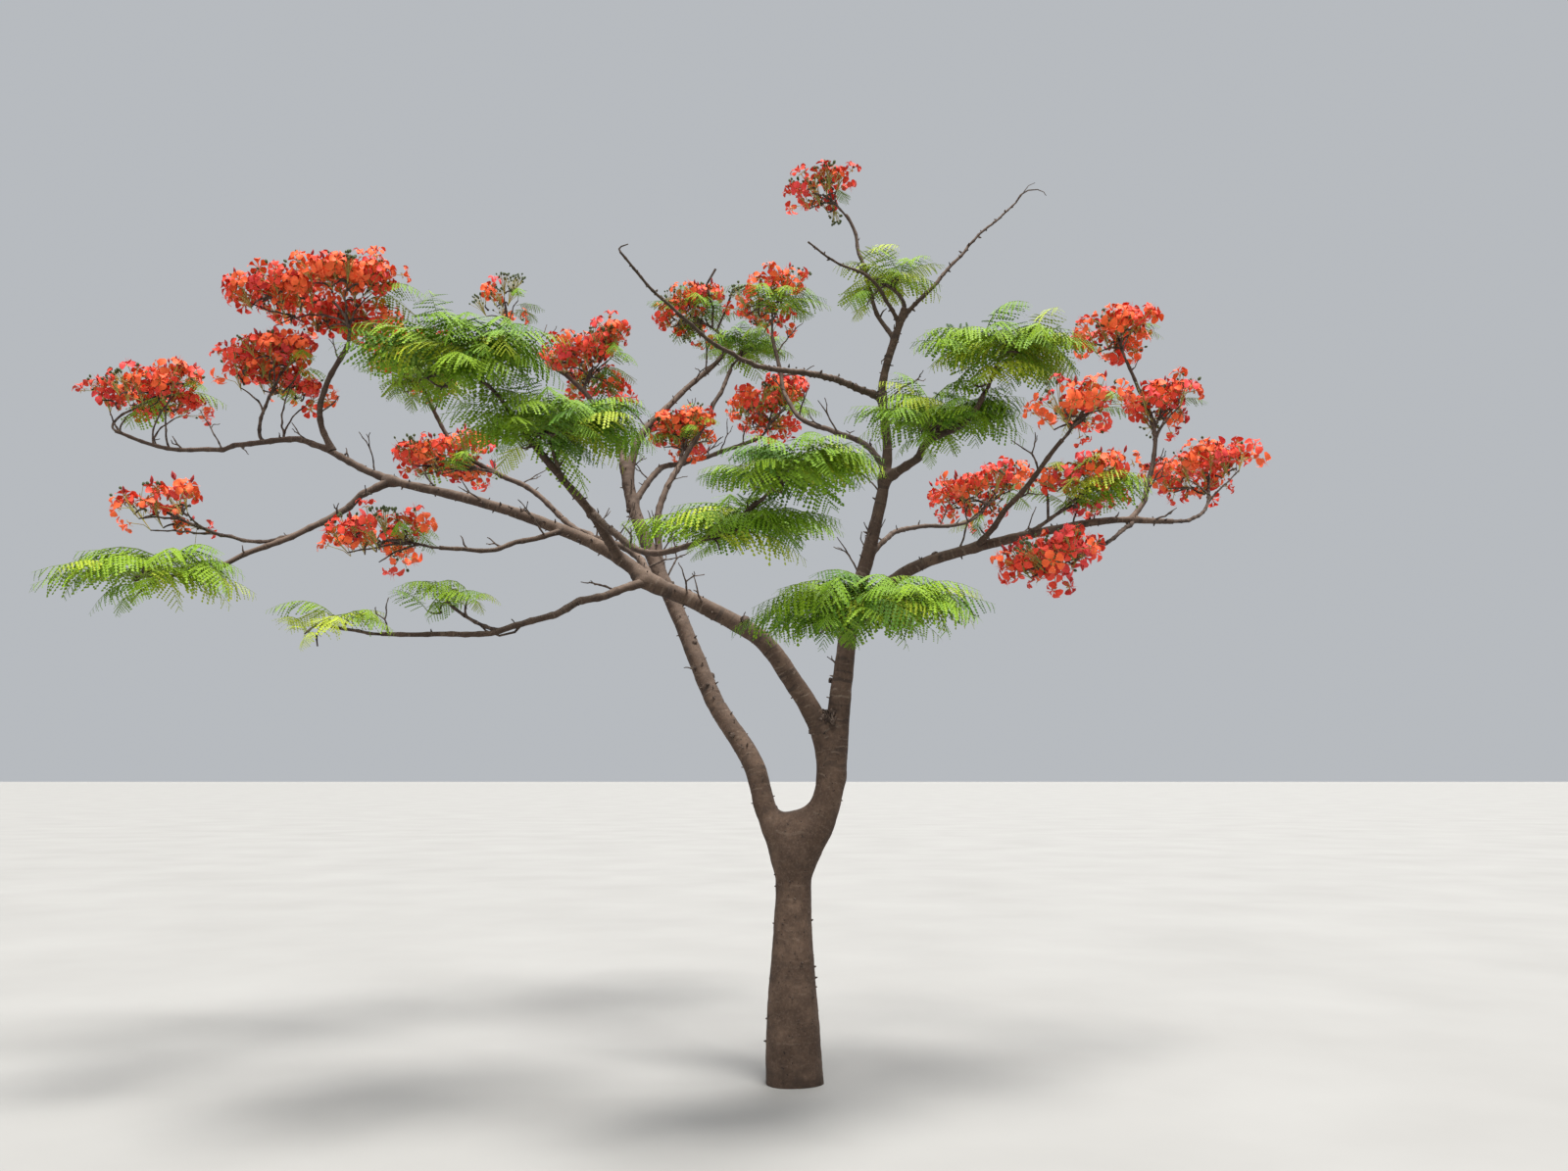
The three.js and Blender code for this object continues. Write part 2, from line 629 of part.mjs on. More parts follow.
// Where limbs leave the same place, the later one is cut clear of every earlier one that it meets.
const tree = new THREE.Group();
tree.add(meshOf("trunk", trunkSolid(0), BARK));
const taken = [trunkSolid(SEAM_GAP)];
const clearOf = (solid, others) => largestBody(others.reduce((left, other) => left.subtract(other), solid));
for (const [name, limb] of Object.entries(limbs)) {
  tree.add(meshOf(name, clearOf(limb.solid(0), taken), BARK));
  taken.push(limb.solid(SEAM_GAP));
}

// A mass is cut clear of every limb, and of the stems of the masses before it.
for (const mass of masses) {
  const material = mass.blooms >= mass.leaves ? BLOSSOM : FOLIAGE;
  tree.add(meshOf(mass.name, clearOf(growMass(mass), taken), material));
  taken.push(mass.stem.solid(SEAM_GAP));
}

export default tree;
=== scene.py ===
"""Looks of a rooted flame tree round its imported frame: bark, twigs, feathery leaves and scarlet blossom."""

import json
import math

import bmesh
import bpy
import numpy as np
from mathutils import Matrix, Vector
from mathutils.bvhtree import BVHTree

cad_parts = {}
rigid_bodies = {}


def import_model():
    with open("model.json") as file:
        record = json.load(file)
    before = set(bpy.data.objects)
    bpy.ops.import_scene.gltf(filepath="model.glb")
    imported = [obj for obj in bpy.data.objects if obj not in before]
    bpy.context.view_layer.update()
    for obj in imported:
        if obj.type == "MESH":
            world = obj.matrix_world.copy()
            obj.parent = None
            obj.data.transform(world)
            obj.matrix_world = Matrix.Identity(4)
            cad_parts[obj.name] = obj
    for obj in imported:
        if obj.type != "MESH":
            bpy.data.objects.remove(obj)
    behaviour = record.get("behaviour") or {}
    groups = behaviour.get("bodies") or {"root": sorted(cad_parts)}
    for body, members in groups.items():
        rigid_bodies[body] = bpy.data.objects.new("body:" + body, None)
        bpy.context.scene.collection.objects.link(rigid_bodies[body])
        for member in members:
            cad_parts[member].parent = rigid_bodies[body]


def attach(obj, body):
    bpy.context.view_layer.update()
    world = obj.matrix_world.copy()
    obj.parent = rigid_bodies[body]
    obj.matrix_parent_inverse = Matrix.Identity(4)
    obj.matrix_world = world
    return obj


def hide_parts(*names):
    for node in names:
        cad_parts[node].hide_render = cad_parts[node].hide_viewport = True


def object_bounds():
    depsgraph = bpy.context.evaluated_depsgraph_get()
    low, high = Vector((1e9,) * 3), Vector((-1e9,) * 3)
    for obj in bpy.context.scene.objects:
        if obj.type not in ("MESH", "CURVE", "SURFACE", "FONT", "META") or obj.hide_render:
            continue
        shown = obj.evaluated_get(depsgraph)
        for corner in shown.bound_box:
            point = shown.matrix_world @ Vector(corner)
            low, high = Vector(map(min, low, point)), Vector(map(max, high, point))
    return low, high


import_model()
cad_box = [list(corner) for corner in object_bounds()]
scene = bpy.context.scene

# The photograph's viewing angle: a standing eye, looking a little up.
CAMERA_PLACE = (-0.051, -7.15, 1.6)
CAMERA_TILT = math.radians(98.26)
CAMERA_LENS = 29.93

# Driving dimensions of the trunk, in metres: it narrows from its foot to a waist and widens into the fork.
FOOT_RADIUS = 0.15
WAIST_HEIGHT = 1.04
WAIST_RADIUS = 0.095
FORK_HEIGHT = 1.405
FORK_HALF_WIDTH = 0.212
FORK_HALF_DEPTH = 0.1
FORK_OPENING = 1.35
FORK_LEAN = 0.022
WAIST_LEAN = 0.006

# Sizes that all limbs and masses share.
LIMB_TAPER = 1.2
LIMB_STEP = 0.25
STEM_LEAVES_ALONG = 0.4
STEM_RADIUS_SHARE = 0.9
STEM_RADIUS_MOST = 0.016
STEM_TIP_RADIUS = 0.009
STEM_STEPS = 3
FIRST_TWIG = 0.35
LAST_TWIG = 0.98
TURN_DRAW = 0.8
SPREAD_DRAW = 0.16
LEAF_LENGTH_MOST = 0.47
LEAF_LENGTH_LEAST = 0.16
LEAF_WIDTH_SHARE = 0.4
LEAF_THICKNESS_SHARE = 0.024
LEAF_ROOT_RADIUS = 0.003
LEAF_SAG = 0.3
LEAF_ARCH = 0.3
LEAF_TURN = 1.3
LEAF_RISE = 0.9
LEAF_TIERS = 1.9
LEAF_PHASE = 0.35
LEAF_SPREAD = 0.26
LAST_LEAF = 0.92
LEAF_STEP = 0.2
LEAF_LIFT = 0.1
LEAF_LIFT_RISE = 0.25
BLOOM_FALL = 1.5
BLOOM_PHASE = 0.1
BLOOM_SPREAD = 0.82
BLOOM_INSET = 0.8
BLOOM_SPACING = 0.66
LEAVES_A_TWIG = 4
BLOOM_RADIUS = 0.104
BLOOM_FLATNESS = 0.72
SPACE_MARGIN = 0.03
SPACE_FILLED = 0.97
LIMB_MARGIN = 0.01
ENTRY_DEPTH = 0.8
OBSTACLE_DEPTH = 1.4
FIRST_SEED = 101
TWIG_TESTS = (0.3, 0.48, 0.65, 0.83, 1)
SIZE_TRIES = (1, 0.8, 0.62)
SAG_DRAWS = (0.6, 0.8)
WAY_SAMPLES = 201
TURN_TRIES = (0, 0.5, -0.5, 1)
GOLDEN_ANGLE = 2.399963
GOLDEN_SHARE = 0.618034

# The finer growth that the solids leave out: further twigs by the same rule, with smaller gaps between them.
FINER_SEED = 701
FINER_TWIGS = 0.7
FINER_LEAF_ROUNDS = 3
FINER_LEAVES_A_TWIG = 7
FINER_LEAF_STEP = 0.05
FINER_LEAF_LIFT = (-0.1, 0.5)
FINER_HEADS = 1.8
FINER_TRIES = 5
FINER_SPACING = 0.4
FINER_LEAF_OUT = (0.4, 1.6)
FINER_HEAD_OUT = (0.35, 1.05)
FINER_FALL = 1.3
FINER_LEAF_LEAST = 0.24
FINER_LEAF_REACH = 1.12
FINER_SAG = 0.7
UNDER_BLOSSOM_LIFT = (-0.6, 0.0)
BOX_MARGIN = 0.025

# Where the finer leaves are sparser or denser. Finer leaves hang under the masses of blossom, apart from
# these, which have leaves all round on so many more twigs.
LEAFINESS = {"leaves_top": 0.4, "leaves_left_drop": 0.45, "leaves_front_low_tip": 0.5,
             "leaves_front_low": 0.6, "leaves_back_high": 0.8, "leaves_right_high": 0.85,
             "leaves_front_left_low": 0.85, "leaves_right_mid": 1.5}
LEAFY_BLOSSOM = {"blossom_hub_left": 2, "blossom_hub_right": 3, "blossom_back_mid": 2, "blossom_pillar": 2,
                 "blossom_back_left": 2, "blossom_right_under": 2}

UP = np.array((0.0, 0.0, 1.0))

# Each limb: its parent and the share of the parent's way where it starts inside it, its radii at root and
# tip, and the points that it bends through. Two limbs have a taper of their own.
LIMBS = {
    "leader": ("trunk", 0.84, (0.094, 0.022), (
        (0.125, 0, 1.34), (0.19, 0, 1.47), (0.218, 0, 1.68), (0.262, 0.025, 2.15), (0.345, 0.06, 2.55),
        (0.53, 0.07, 3.38), (0.512, 0.035, 3.8), (0.64, 0, 4.24))),
    "stem_back": ("trunk", 0.82, (0.062, 0.036), (
        (-0.146, 0.04, 1.4), (-0.184, 0.085, 1.53), (-0.222, 0.13, 1.66), (-0.455, 0.32, 2.04),
        (-0.72, 0.6, 2.64), (-1.01, 0.88, 3.28), (-1.07, 1, 3.58))),
    "bough_left_low": ("leader", 0.15, (0.06, 0.04), (
        (0.125, -0.05, 1.88), (-0.02, -0.12, 2.12), (-0.19, -0.2, 2.34), (-0.49, -0.26, 2.49),
        (-0.82, -0.28, 2.64))),
    "bough_left_mid": ("bough_left_low", 0.94, (0.039, 0.023), (
        (-1.02, -0.24, 2.8), (-1.55, -0.1, 3.04), (-2.3, 0.05, 3.25))),
    "bough_left_tip": ("bough_left_mid", 0.97, (0.022, 0.01), (
        (-2.84, 0.2, 3.51), (-3.28, 0.3, 3.5), (-3.68, 0.38, 3.51), (-4.04, 0.42, 3.63))),
    "riser_left": ("bough_left_tip", 0.24, (0.018, 0.013), (
        (-2.715, 0.12, 3.61), (-2.68, 0.1, 3.82), (-2.54, 0.06, 4.1), (-2.6, 0.07, 4.25))),
    "bough_left_drop": ("bough_left_mid", 0.98, (0.021, 0.011), (
        (-2.47, -0.05, 3.07), (-2.74, -0.25, 2.85), (-2.92, -0.38, 2.73), (-3.18, -0.6, 2.5))),
    "bough_front_low": ("bough_left_low", 0.97, (0.023, 0.009), (
        (-1.08, -0.6, 2.46), (-1.45, -1, 2.27), (-2.03, -1.4, 2.22))),
    "spur_under": ("bough_left_mid", 0.35, (0.016, 0.009), (
        (-1.62, -0.5, 2.75), (-1.9, -0.72, 2.74))),
    "bough_front_left": ("bough_left_mid", 0.14, (0.028, 0.011), (
        (-1.05, -0.5, 2.94), (-1.31, -0.98, 3.24), (-1.49, -1.25, 3.51))),
    "bough_front": ("bough_front_left", 0.3, (0.019, 0.01), (
        (-0.71, -0.95, 2.67), (-0.31, -1.4, 2.69), (-0.05, -1.75, 2.86))),
    "bough_back_left": ("bough_left_low", 0.95, (0.022, 0.012), (
        (-0.83, -0.1, 2.77), (-1.28, 0.45, 3.04), (-1.57, 0.7, 3.3), (-2.14, 1.03, 3.67),
        (-2.4, 1.09, 4.06))),
    "riser_back": ("stem_back", 0.7, (0.023, 0.013), (
        (-0.84, 0.85, 3.25), (-0.62, 1.25, 3.82), (-0.41, 1.65, 4.43))),
    "stem_back_right": ("stem_back", 0.94, (0.028, 0.013), (
        (-0.99, 1.1, 3.77), (-0.77, 1.4, 4.13), (-0.46, 1.8, 4.63), (-0.62, 1.9, 4.85))),
    "stem_back_left": ("stem_back", 0.98, (0.024, 0.012), (
        (-1.16, 1.2, 3.84), (-1.39, 1.45, 4.15), (-1.96, 1.8, 4.7))),
    "bough_back": ("stem_back", 0.88, (0.022, 0.012), (
        (-0.87, 1.2, 3.58), (-0.66, 1.6, 3.74), (-0.12, 2.15, 4.08))),
    "arm_left": ("leader", 0.83, (0.02, 0.006), (
        (0.22, -0.12, 3.8), (-0.29, -0.5, 3.78), (-0.67, -0.85, 3.98), (-0.86, -1, 4.16))),
    "arm_back": ("leader", 0.7, (0.018, 0.011), (
        (0.44, 0.25, 3.5), (0.24, 0.5, 3.65), (0.01, 0.8, 3.87), (-0.16, 1.15, 4.6))),
    "bough_right": ("leader", 0.43, (0.038, 0.015), (
        (0.6, -0.12, 2.69), (0.92, -0.25, 2.79), (1.64, -0.25, 2.95), (2.09, -0.1, 2.98))),
    "riser_right": ("bough_right", 0.86, (0.015, 0.009), (
        (1.94, -0.1, 3.13), (2.05, 0.05, 3.53), (1.91, 0.15, 4.05))),
    "riser_right_front": ("bough_right", 0.41, (0.017, 0.01), (
        (1.19, -0.7, 3.06), (1.32, -0.95, 3.23), (1.42, -1.03, 3.3))),
    "bough_right_back": ("leader", 0.51, (0.017, 0.01), (
        (0.52, 0.3, 2.94), (0.76, 0.7, 3.1), (1.12, 1.1, 3.21), (1.36, 1.4, 3.4))),
    "arm_right": ("leader", 0.68, (0.026, 0.012), (
        (0.68, -0.08, 3.33), (0.74, -0.2, 3.41), (0.93, -0.45, 3.47), (1.06, -0.6, 3.7))),
    "riser_top": ("leader", 0.94, (0.013, 0.009), (
        (0.5, 0.08, 4.23), (0.44, 0.14, 4.44), (0.33, 0.23, 4.88), (0.22, 0.24, 5.02))),
    "arm_top_right": ("leader", 0.98, (0.013, 0.005), (
        (0.82, 0.1, 4.42), (1.07, 0.25, 4.74), (1.37, 0.42, 5.07))),
    "arm_top_left": ("leader", 0.97, (0.012, 0.005), (
        (0.43, -0.15, 4.35), (0.22, -0.3, 4.4), (0.08, -0.42, 4.46))),
}
TAPERS = {"leader": 1.9, "stem_back": 1}

# Each mass: its limb and the share of its way where the stem leaves it, or None for its tip; the centre and
# the reach on each axis that its leaves and bloom heads stay within; how many leaves and bloom heads the
# solids give it; and for some a point that its stem bends towards.
MASSES = {
    "blossom_left_end": ("bough_left_tip", None, (-3.8, 0.42, 3.85), (0.43, 0.32, 0.23), 3, 9),
    "blossom_left_high": ("riser_left", None, (-2.66, 0.08, 4.31), (0.62, 0.43, 0.33), 2, 18),
    "blossom_left_mid": ("bough_left_tip", 0.46, (-3.0, 0.25, 3.95), (0.38, 0.37, 0.33), 3, 12),
    "blossom_left_drop": ("bough_left_drop", 0.6, (-3.26, -0.5, 2.95), (0.28, 0.27, 0.22), 3, 5),
    "leaves_left_drop": ("bough_left_drop", None, (-3.29, -0.62, 2.6), (0.52, 0.45, 0.26), 12, 0),
    "leaves_front_low_tip": ("bough_front_low", None, (-2.08, -1.42, 2.26), (0.3, 0.3, 0.17), 5, 0),
    "leaves_front_low": ("bough_front_low", 0.6, (-1.62, -1.15, 2.4), (0.27, 0.29, 0.16), 8, 0),
    "blossom_under": ("spur_under", None, (-2.04, -0.75, 2.76), (0.34, 0.3, 0.2), 4, 5),
    "leaves_front_left_high": ("bough_front_left", None, (-1.6, -1.25, 3.54), (0.56, 0.48, 0.3), 16, 0),
    "leaves_front_left_low": ("bough_front_left", 0.5, (-1.2, -0.95, 3.26), (0.52, 0.45, 0.32), 18, 0),
    "leaves_back_left": ("bough_back_left", None, (-2.47, 1.1, 4.24), (0.38, 0.42, 0.31), 8, 2),
    "blossom_back_left": ("bough_back_left", 0.68, (-2.18, 0.95, 3.58), (0.41, 0.34, 0.24), 3, 7),
    "blossom_buds": ("stem_back_left", None, (-2.06, 1.85, 4.95), (0.29, 0.29, 0.31), 3, 5),
    "blossom_back_high": ("stem_back_left", 0.5, (-1.36, 1.5, 4.38), (0.38, 0.38, 0.43), 4, 9),
    "blossom_hub_left": ("stem_back_right", None, (-0.72, 1.9, 4.88), (0.31, 0.35, 0.32), 4, 5),
    "blossom_hub_right": ("arm_back", None, (-0.12, 1.15, 4.7), (0.34, 0.35, 0.31), 5, 5),
    "blossom_pillar": ("bough_back", None, (-0.14, 2.15, 4.24), (0.36, 0.33, 0.36), 3, 7),
    "blossom_back_mid": ("riser_back", 0.4, (-0.7, 1.3, 3.85), (0.3, 0.29, 0.24), 3, 5),
    "leaves_back_high": ("riser_back", None, (-0.33, 1.7, 4.56), (0.34, 0.33, 0.22), 9, 0),
    "leaves_front_tip": ("bough_front", None, (0, -1.75, 2.88), (0.38, 0.43, 0.19), 14, 0),
    "leaves_front_mid": ("bough_front", 0.55, (-0.27, -1.38, 2.7), (0.49, 0.41, 0.18), 14, 0),
    "leaves_spur_front": ("leader", 0.38, (0.31, -1.15, 2.37),
        (0.64, 0.45, 0.22), 20, 0, (0.33, -0.56, 2.48)),
    "leaves_right_high": ("arm_right", None, (1.09, -0.6, 3.78), (0.48, 0.46, 0.29), 16, 0),
    "leaves_right_low": ("arm_right", 0.5, (0.78, -0.33, 3.5), (0.48, 0.42, 0.28), 13, 0),
    "blossom_top": ("riser_top", None, (0.18, 0.24, 5.04), (0.24, 0.25, 0.23), 1, 7),
    "leaves_top": ("leader", None, (0.49, 0, 4.4), (0.37, 0.35, 0.23), 10, 0),
    "blossom_right_top": ("riser_right", None, (1.89, 0.15, 4.13), (0.27, 0.26, 0.2), 3, 6),
    "blossom_right_mid": ("riser_right", 0.55, (2.1, 0.05, 3.66), (0.27, 0.29, 0.23), 2, 7),
    "blossom_right_front": ("riser_right_front", None, (1.4, -1, 3.35), (0.27, 0.29, 0.18), 3, 7),
    "blossom_right_end": ("bough_right", None, (2.47, 0.45, 3.37), (0.38, 0.35, 0.23), 3, 9),
    "blossom_right_under": ("bough_right", 0.87, (1.3, -0.7, 2.66),
        (0.32, 0.29, 0.19), 3, 6, (1.64, -0.48, 2.76)),
    "blossom_right_back": ("bough_right_back", None, (1.31, 1.4, 3.43), (0.42, 0.36, 0.3), 5, 7),
    "leaves_right_mid": ("bough_right", 0.5, (1.56, -0.45, 3.11), (0.33, 0.34, 0.19), 8, 2),
}

# The thick wood's skin: the limbs that it covers, how softly they join, how the skin is drawn onto their
# blend, and the trunk's rounded top and lobed foot.
THICK_LIMBS = ("leader", "stem_back", "bough_left_low", "bough_left_mid", "bough_front_left",
               "stem_back_right", "bough_right")
BLEND_SHARE = 0.95
JOINT_REACH = 1.5
JOINT_SLIMMER = 0.97
JOINT_BLEND = 1.6
SKIN_VOXEL = 0.01
SKIN_ROUNDS = 4
SKIN_DRAWS_A_ROUND = 2
SKIN_LARGEST_DRAW = 0.012
SKIN_LEAST_STEEPNESS = 0.2
FIELD_REACH = 0.2
CROWN_OF_TRUNK = 0.13
TRUNK_SIDES = 32
TRUNK_RINGS = 30
CROWN_TURNS = (0.2, 1.4, 6)
FOOT_BELOW_GROUND = 0.06
FOOT_LOBES = 0.05
FOOT_LOBE_COUNT = 3
FOOT_LOBES_TURN = 0.7
FOOT_LOBES_HEIGHT = 0.45

# Limbs bend a little at nodes along them: how far apart, and how far aside as a share of the limb's radius.
THICK_NODES = (0.22, 0.42)
THIN_NODES = (0.09, 0.24)
THICK_CROOK = 0.24
THIN_CROOK = 0.75

# A twig leaves an earlier twig at one of these shares of its way, or the limb at one of these lengths from
# its mass, where that is nearer than the stem.
BRANCH_SHARES = (0.3, 0.45, 0.6, 0.72)
BRANCH_SHORTEST = 0.07
LIMB_BRANCHES = (0.03, 0.1, 0.17, 0.26, 0.37, 0.5, 0.62, 0.74)
RISING_MASSES = ("blossom_left_end", "blossom_left_mid", "blossom_right_end", "blossom_right_mid",
                 "blossom_left_drop")
RISING_EASE = 0.5
RISING_LEAST = 0.35
ONWARD_LEAST = 0.2
STEM_EASE = 0.8
STEM_SLIMMER = 0.8

# Where random draws start, each for a use of its own.
CROOK_SEED = 907
WOOD_SEED = 877
KNOT_SEED = 1201
LEAF_SEED = 11
RIB_SEED = 31
BLOSSOM_SEED = 23
FLOWER_SEED = 53
CALYX_SEED = 61
FURLED_SEED = 67

# Large knots: the limb, the share of its way, the turn round it from its top, and the width.
KNOTS = (
    ("arm_right", 0.02, 0.6, 0.07),
    ("arm_right", 0.05, -1.2, 0.05),
    ("bough_left_low", 0.36, 0.5, 0.05),
    ("bough_left_low", 0.62, -0.9, 0.045),
    ("bough_left_low", 0.83, 0.3, 0.04),
    ("leader", 0.45, 1.5, 0.05),
    ("leader", 0.72, -1.4, 0.05),
    ("stem_back", 0.42, 1.1, 0.04),
    ("bough_right", 0.3, 0.4, 0.04),
)

# Dead bark and stubs: a ragged collar of shreds in the leader's crook, and short stubs on the trunk, the
# thick limbs and the bare ones.
COLLAR_PLACE = np.array((0.187, -0.03, 1.915))
COLLAR_REACH = np.array((0.038, 0.07, 0.022))
COLLAR_SHREDS = 90
TRUNK_STUBS = 60
STUB_SPACING = 0.045
STUB_SLANT = 0.3
STUB_ROOT = 0.75
STUB_OUT = (0.006, 0.017)
STUB_RADII = (0.005, 0.009)
STUB_TIP = 0.0025
LOWEST_TRUNK_STUB = 0.15
TRUNK_STUB_RISE = 0.03
TRUNK_STUB_ROOT = 0.9
TRUNK_STUB_OUT = (0.004, 0.013)
TRUNK_STUB_RADII = (0.006, 0.011)
TRUNK_STUB_TIP = 0.003
SHRED_ROOT = 0.03
SHRED_LENGTHS = (0.005, 0.03)
SHRED_WAYS = ((-0.6, 0.6), (-1, 0.8), (0.2, 1))

# The limbs that are bare dead wood.
BARE_ARMS = ("arm_left", "arm_top_right", "arm_top_left")

# How far apart the stations along each kind of wood are.
SKIN_SPACING = 0.03
FIELD_SPACING = 0.05
JOINT_SPACING = 0.02
LIMB_SPACING = 0.013
STEM_SPACING = 0.012
TWIG_SPACING = 0.018

# Knobs along thin wood: how far apart, how much thicker it is and how far aside it bends at each.
LIMB_KNOBS = (0.1, 0.17, 0.003)
DEAD_KNOBS = (0.05, 0.3, 0.0045)
STEM_KNOBS = (0.06, 0.28, 0.007)
TWIG_KNOBS = (0.042, 0.35, 0.0055)
KNOB_GAPS = (0.6, 1.4)
KNOB_WIDTH = 0.16
UNBENT_END = 0.3
CROOK_UNBENT_END = 0.06
ROOT_FLARE = 0.35
ROOT_FLARE_LENGTH = 3.2

# Radii of the twigs to leaves, the twigs to bloom heads, and the collar's shreds, at root and tip.
LEAF_TWIG = (0.0062, 0.0032)
BLOOM_TWIG = (0.0066, 0.0034)
SHRED = (0.011, 0.004)

# Dead sticks along the limbs: gaps, turns from the top, lengths, radii, and where and how they kink and fork.
FIRST_STICK = (0.1, 0.25)
STICK_GAPS = (0.088, 0.33)
STICK_TURN = 1.3
STICK_LEAN = (0.1, 1.1)
STICK_LONG = (0.08, 0.26)
STICK_SHORT = (0.02, 0.05)
STICK_THICK = (0.0045, 0.0065)
STICK_KINK = (0.4, 0.65)
STICK_FORK = (0.35, 0.5)
STICK_WIDE_TURN = 1.6
STICK_WIDE_SHARE = 0.3
STICK_LONG_SHARE = 0.6
STICK_TAPER = 0.75
STICK_TIP = 0.0022
STICK_RISE = 0.4
STICK_WANDER = 0.7
FORK_WANDER = 0.5
FORK_THICKNESS = 0.7
FORKED_REACH = 0.1
LONG_STICKS_ON = 0.045
BARE_LIMB_END = 0.03

# A twig's way as it leaves its stem: how much it heads for its own end, how much it sags and how far it goes.
TWIG_AHEAD = 0.9
TWIG_SAG = 0.15
TWIG_HALF_WAY = 0.5

# Knots: how wide as shares of the limb, how far apart, how far round from its top and how far out.
FIRST_KNOT = (0.1, 0.3)
KNOT_GAPS = (0.12, 0.5)
KNOT_SIZES = (0.4, 0.8)
KNOT_TURN = 2.4
KNOT_OUT = 0.92

# Sticks of a shape of their own: what bears each, where, its radii and its bends from there.
CROOKED_STICKS = (
    ("arm_top_right", 1, 0.006, 0.0018,
     ((0.03, 0, 0.05), (0.08, 0.01, 0.085), (0.135, 0, 0.085), (0.17, -0.01, 0.065), (0.185, -0.01, 0.04))),
    ("arm_top_right", 1, 0.004, 0.0015, ((0.05, 0.01, 0.07), (0.08, 0, 0.11), (0.12, -0.01, 0.125))),
    ("arm_left", 1, 0.006, 0.003, ((-0.008, 0, 0.018), (0.002, 0, 0.03), (0.036, 0.005, 0.045))),
    ("blossom_hub_left", 0.35, 0.009, 0.0085,
     ((0.01, -0.08, 0.12), (-0.03, -0.16, 0.24), (-0.035, -0.16, 0.26), (0.03, -0.16, 0.38))),
    ("blossom_hub_left", 0.2, 0.009, 0.008,
     ((0.07, -0.06, 0.14), (0.12, -0.1, 0.27), (0.14, -0.1, 0.285), (0.22, -0.1, 0.3))),
    ("leaves_right_mid", 0.45, 0.008, 0.0075,
     ((-0.01, -0.06, 0.1), (-0.04, -0.1, 0.24), (-0.03, -0.1, 0.25), (0.06, -0.1, 0.29))),
    ("bough_front_low", 0.55, 0.007, 0.005,
     ((-0.03, -0.02, -0.04), (-0.1, -0.04, -0.06), (-0.15, -0.03, -0.04))),
)

# Leaves: their pairs of ribs, as shares of the leaf's length, and the leaflets, as shares of a rib's. Leans
# and turns are in degrees.
LEAF_RIBS = 17
RIB_LENGTH = 0.31
RIB_LEAN = (-42, -8)
RIB_DROOPS = (0.04, 0.1, 0.16, 0.23)
LEAFLET_PAIRS = 7
LEAFLET_LENGTH = 0.088
LEAFLET_SWEEP = 0.33
LEAFLET_FOLD = 0.24
LEAF_ROLL = 0.25
STALK_RADIUS = 0.0075
STALK_SHORTENING = 0.12
STALK_ARCH = (2.2, 3.2)
FIRST_RIB = 0.12
LAST_RIB = 0.99
RIB_TURNS = (72, 34, 4)

# Each green: the least draw that gives it, its colour and its deeper mottling. Some masses get more of the
# yellow greens: partly fresher leaves, partly painted sunlight on the masses that stand in the sun.
GREENS = {
    "leaves_young": (0.9, (0.4, 0.47, 0.03), (0.29, 0.37, 0.022)),
    "leaves_fresh": (0.46, (0.235, 0.37, 0.015), (0.16, 0.28, 0.012)),
    "leaves_green": (0.15, (0.175, 0.31, 0.013), (0.12, 0.235, 0.011)),
    "leaves_deep": (-9.0, (0.095, 0.205, 0.013), (0.065, 0.155, 0.011)),
}
FRESH_AND_SUNLIT = {"leaves_front_low_tip": 0.35, "leaves_front_low": 0.3, "leaves_left_drop": 0.2,
             "leaves_right_high": 0.12, "leaves_right_low": 0.02, "leaves_top": 0.3, "leaves_right_mid": 0.2}

# Each red: its colour and its deeper mottling.
REDS = {
    "flowers_scarlet": ((0.76, 0.058, 0.024), (0.6, 0.032, 0.017)),
    "flowers_orange": ((0.84, 0.13, 0.028), (0.74, 0.078, 0.02)),
    "flowers_crimson": ((0.7, 0.05, 0.046), (0.54, 0.025, 0.027)),
}

# Bloom heads: how many flowers or buds each has, their sizes, their stalks, and where they stand on the dome.
FLOWERS_A_HEAD = 4.8
BUD_HEADS = 0.1
FLOWER_WIDTHS = (0.092, 0.118)
BUD_WIDTHS = (0.013, 0.021)
FURLED_LENGTHS = (0.03, 0.048)
OPEN_TURN = math.radians(104)
NODE_DEPTH = 0.85
HEAD_STALK = 0.0026
FLOWER_STALK = 0.0021
BUD_STALK = 0.0016
BUD_LEAN = (1, 0.2, 0)
HEAD_DOME = np.array((1, 1, 0.86))
BUD_DOME = np.array((1, 1, 0.9))
FLOWER_OUT = (0.55, 1.2)
FLOWER_ROOTS = (-0.3, 0.7)
FULLNESS_GROWTH = 1.6
FULLNESS_DRAWS = (0.8, 1.2)
MAIN_RED_REACH = 1.7
MAIN_RED_DRAWS = (0.8, 1.25)
MAIN_RED_SHARE = 0.62
OPEN_SHARE = 0.62
HANGING_SHARE = 0.1
HANGING_FALL = 1.6
FURLED_SHARE = 0.3
BUD_FALLS = (0.1, 0.9)
BUDS = {True: (10, 16), False: (0, 4.4)}
BUDS_OUT = {True: (0.5, 1.0), False: (0.85, 1.12)}

# Shares of a petal's length with its width there, and shares of a furled flower's height with its radius.
PETAL_PROFILE = ((0.0, 0.06), (0.3, 0.2), (0.56, 0.95), (0.84, 1.0), (1.0, 0.45))
FURLED_PROFILE = ((0, 0.05), (0.22, 0.15), (0.5, 0.17), (0.8, 0.1), (1.0, 0.012))

# The kinds of flower, and how far the petals rise and curl back in each.
OPEN, HALF_OPEN, HANGING = 0, 1, 2
FLOWER_KINDS = ((0.2, 0.3), (0.5, 0.16), (0.3, 0.62))

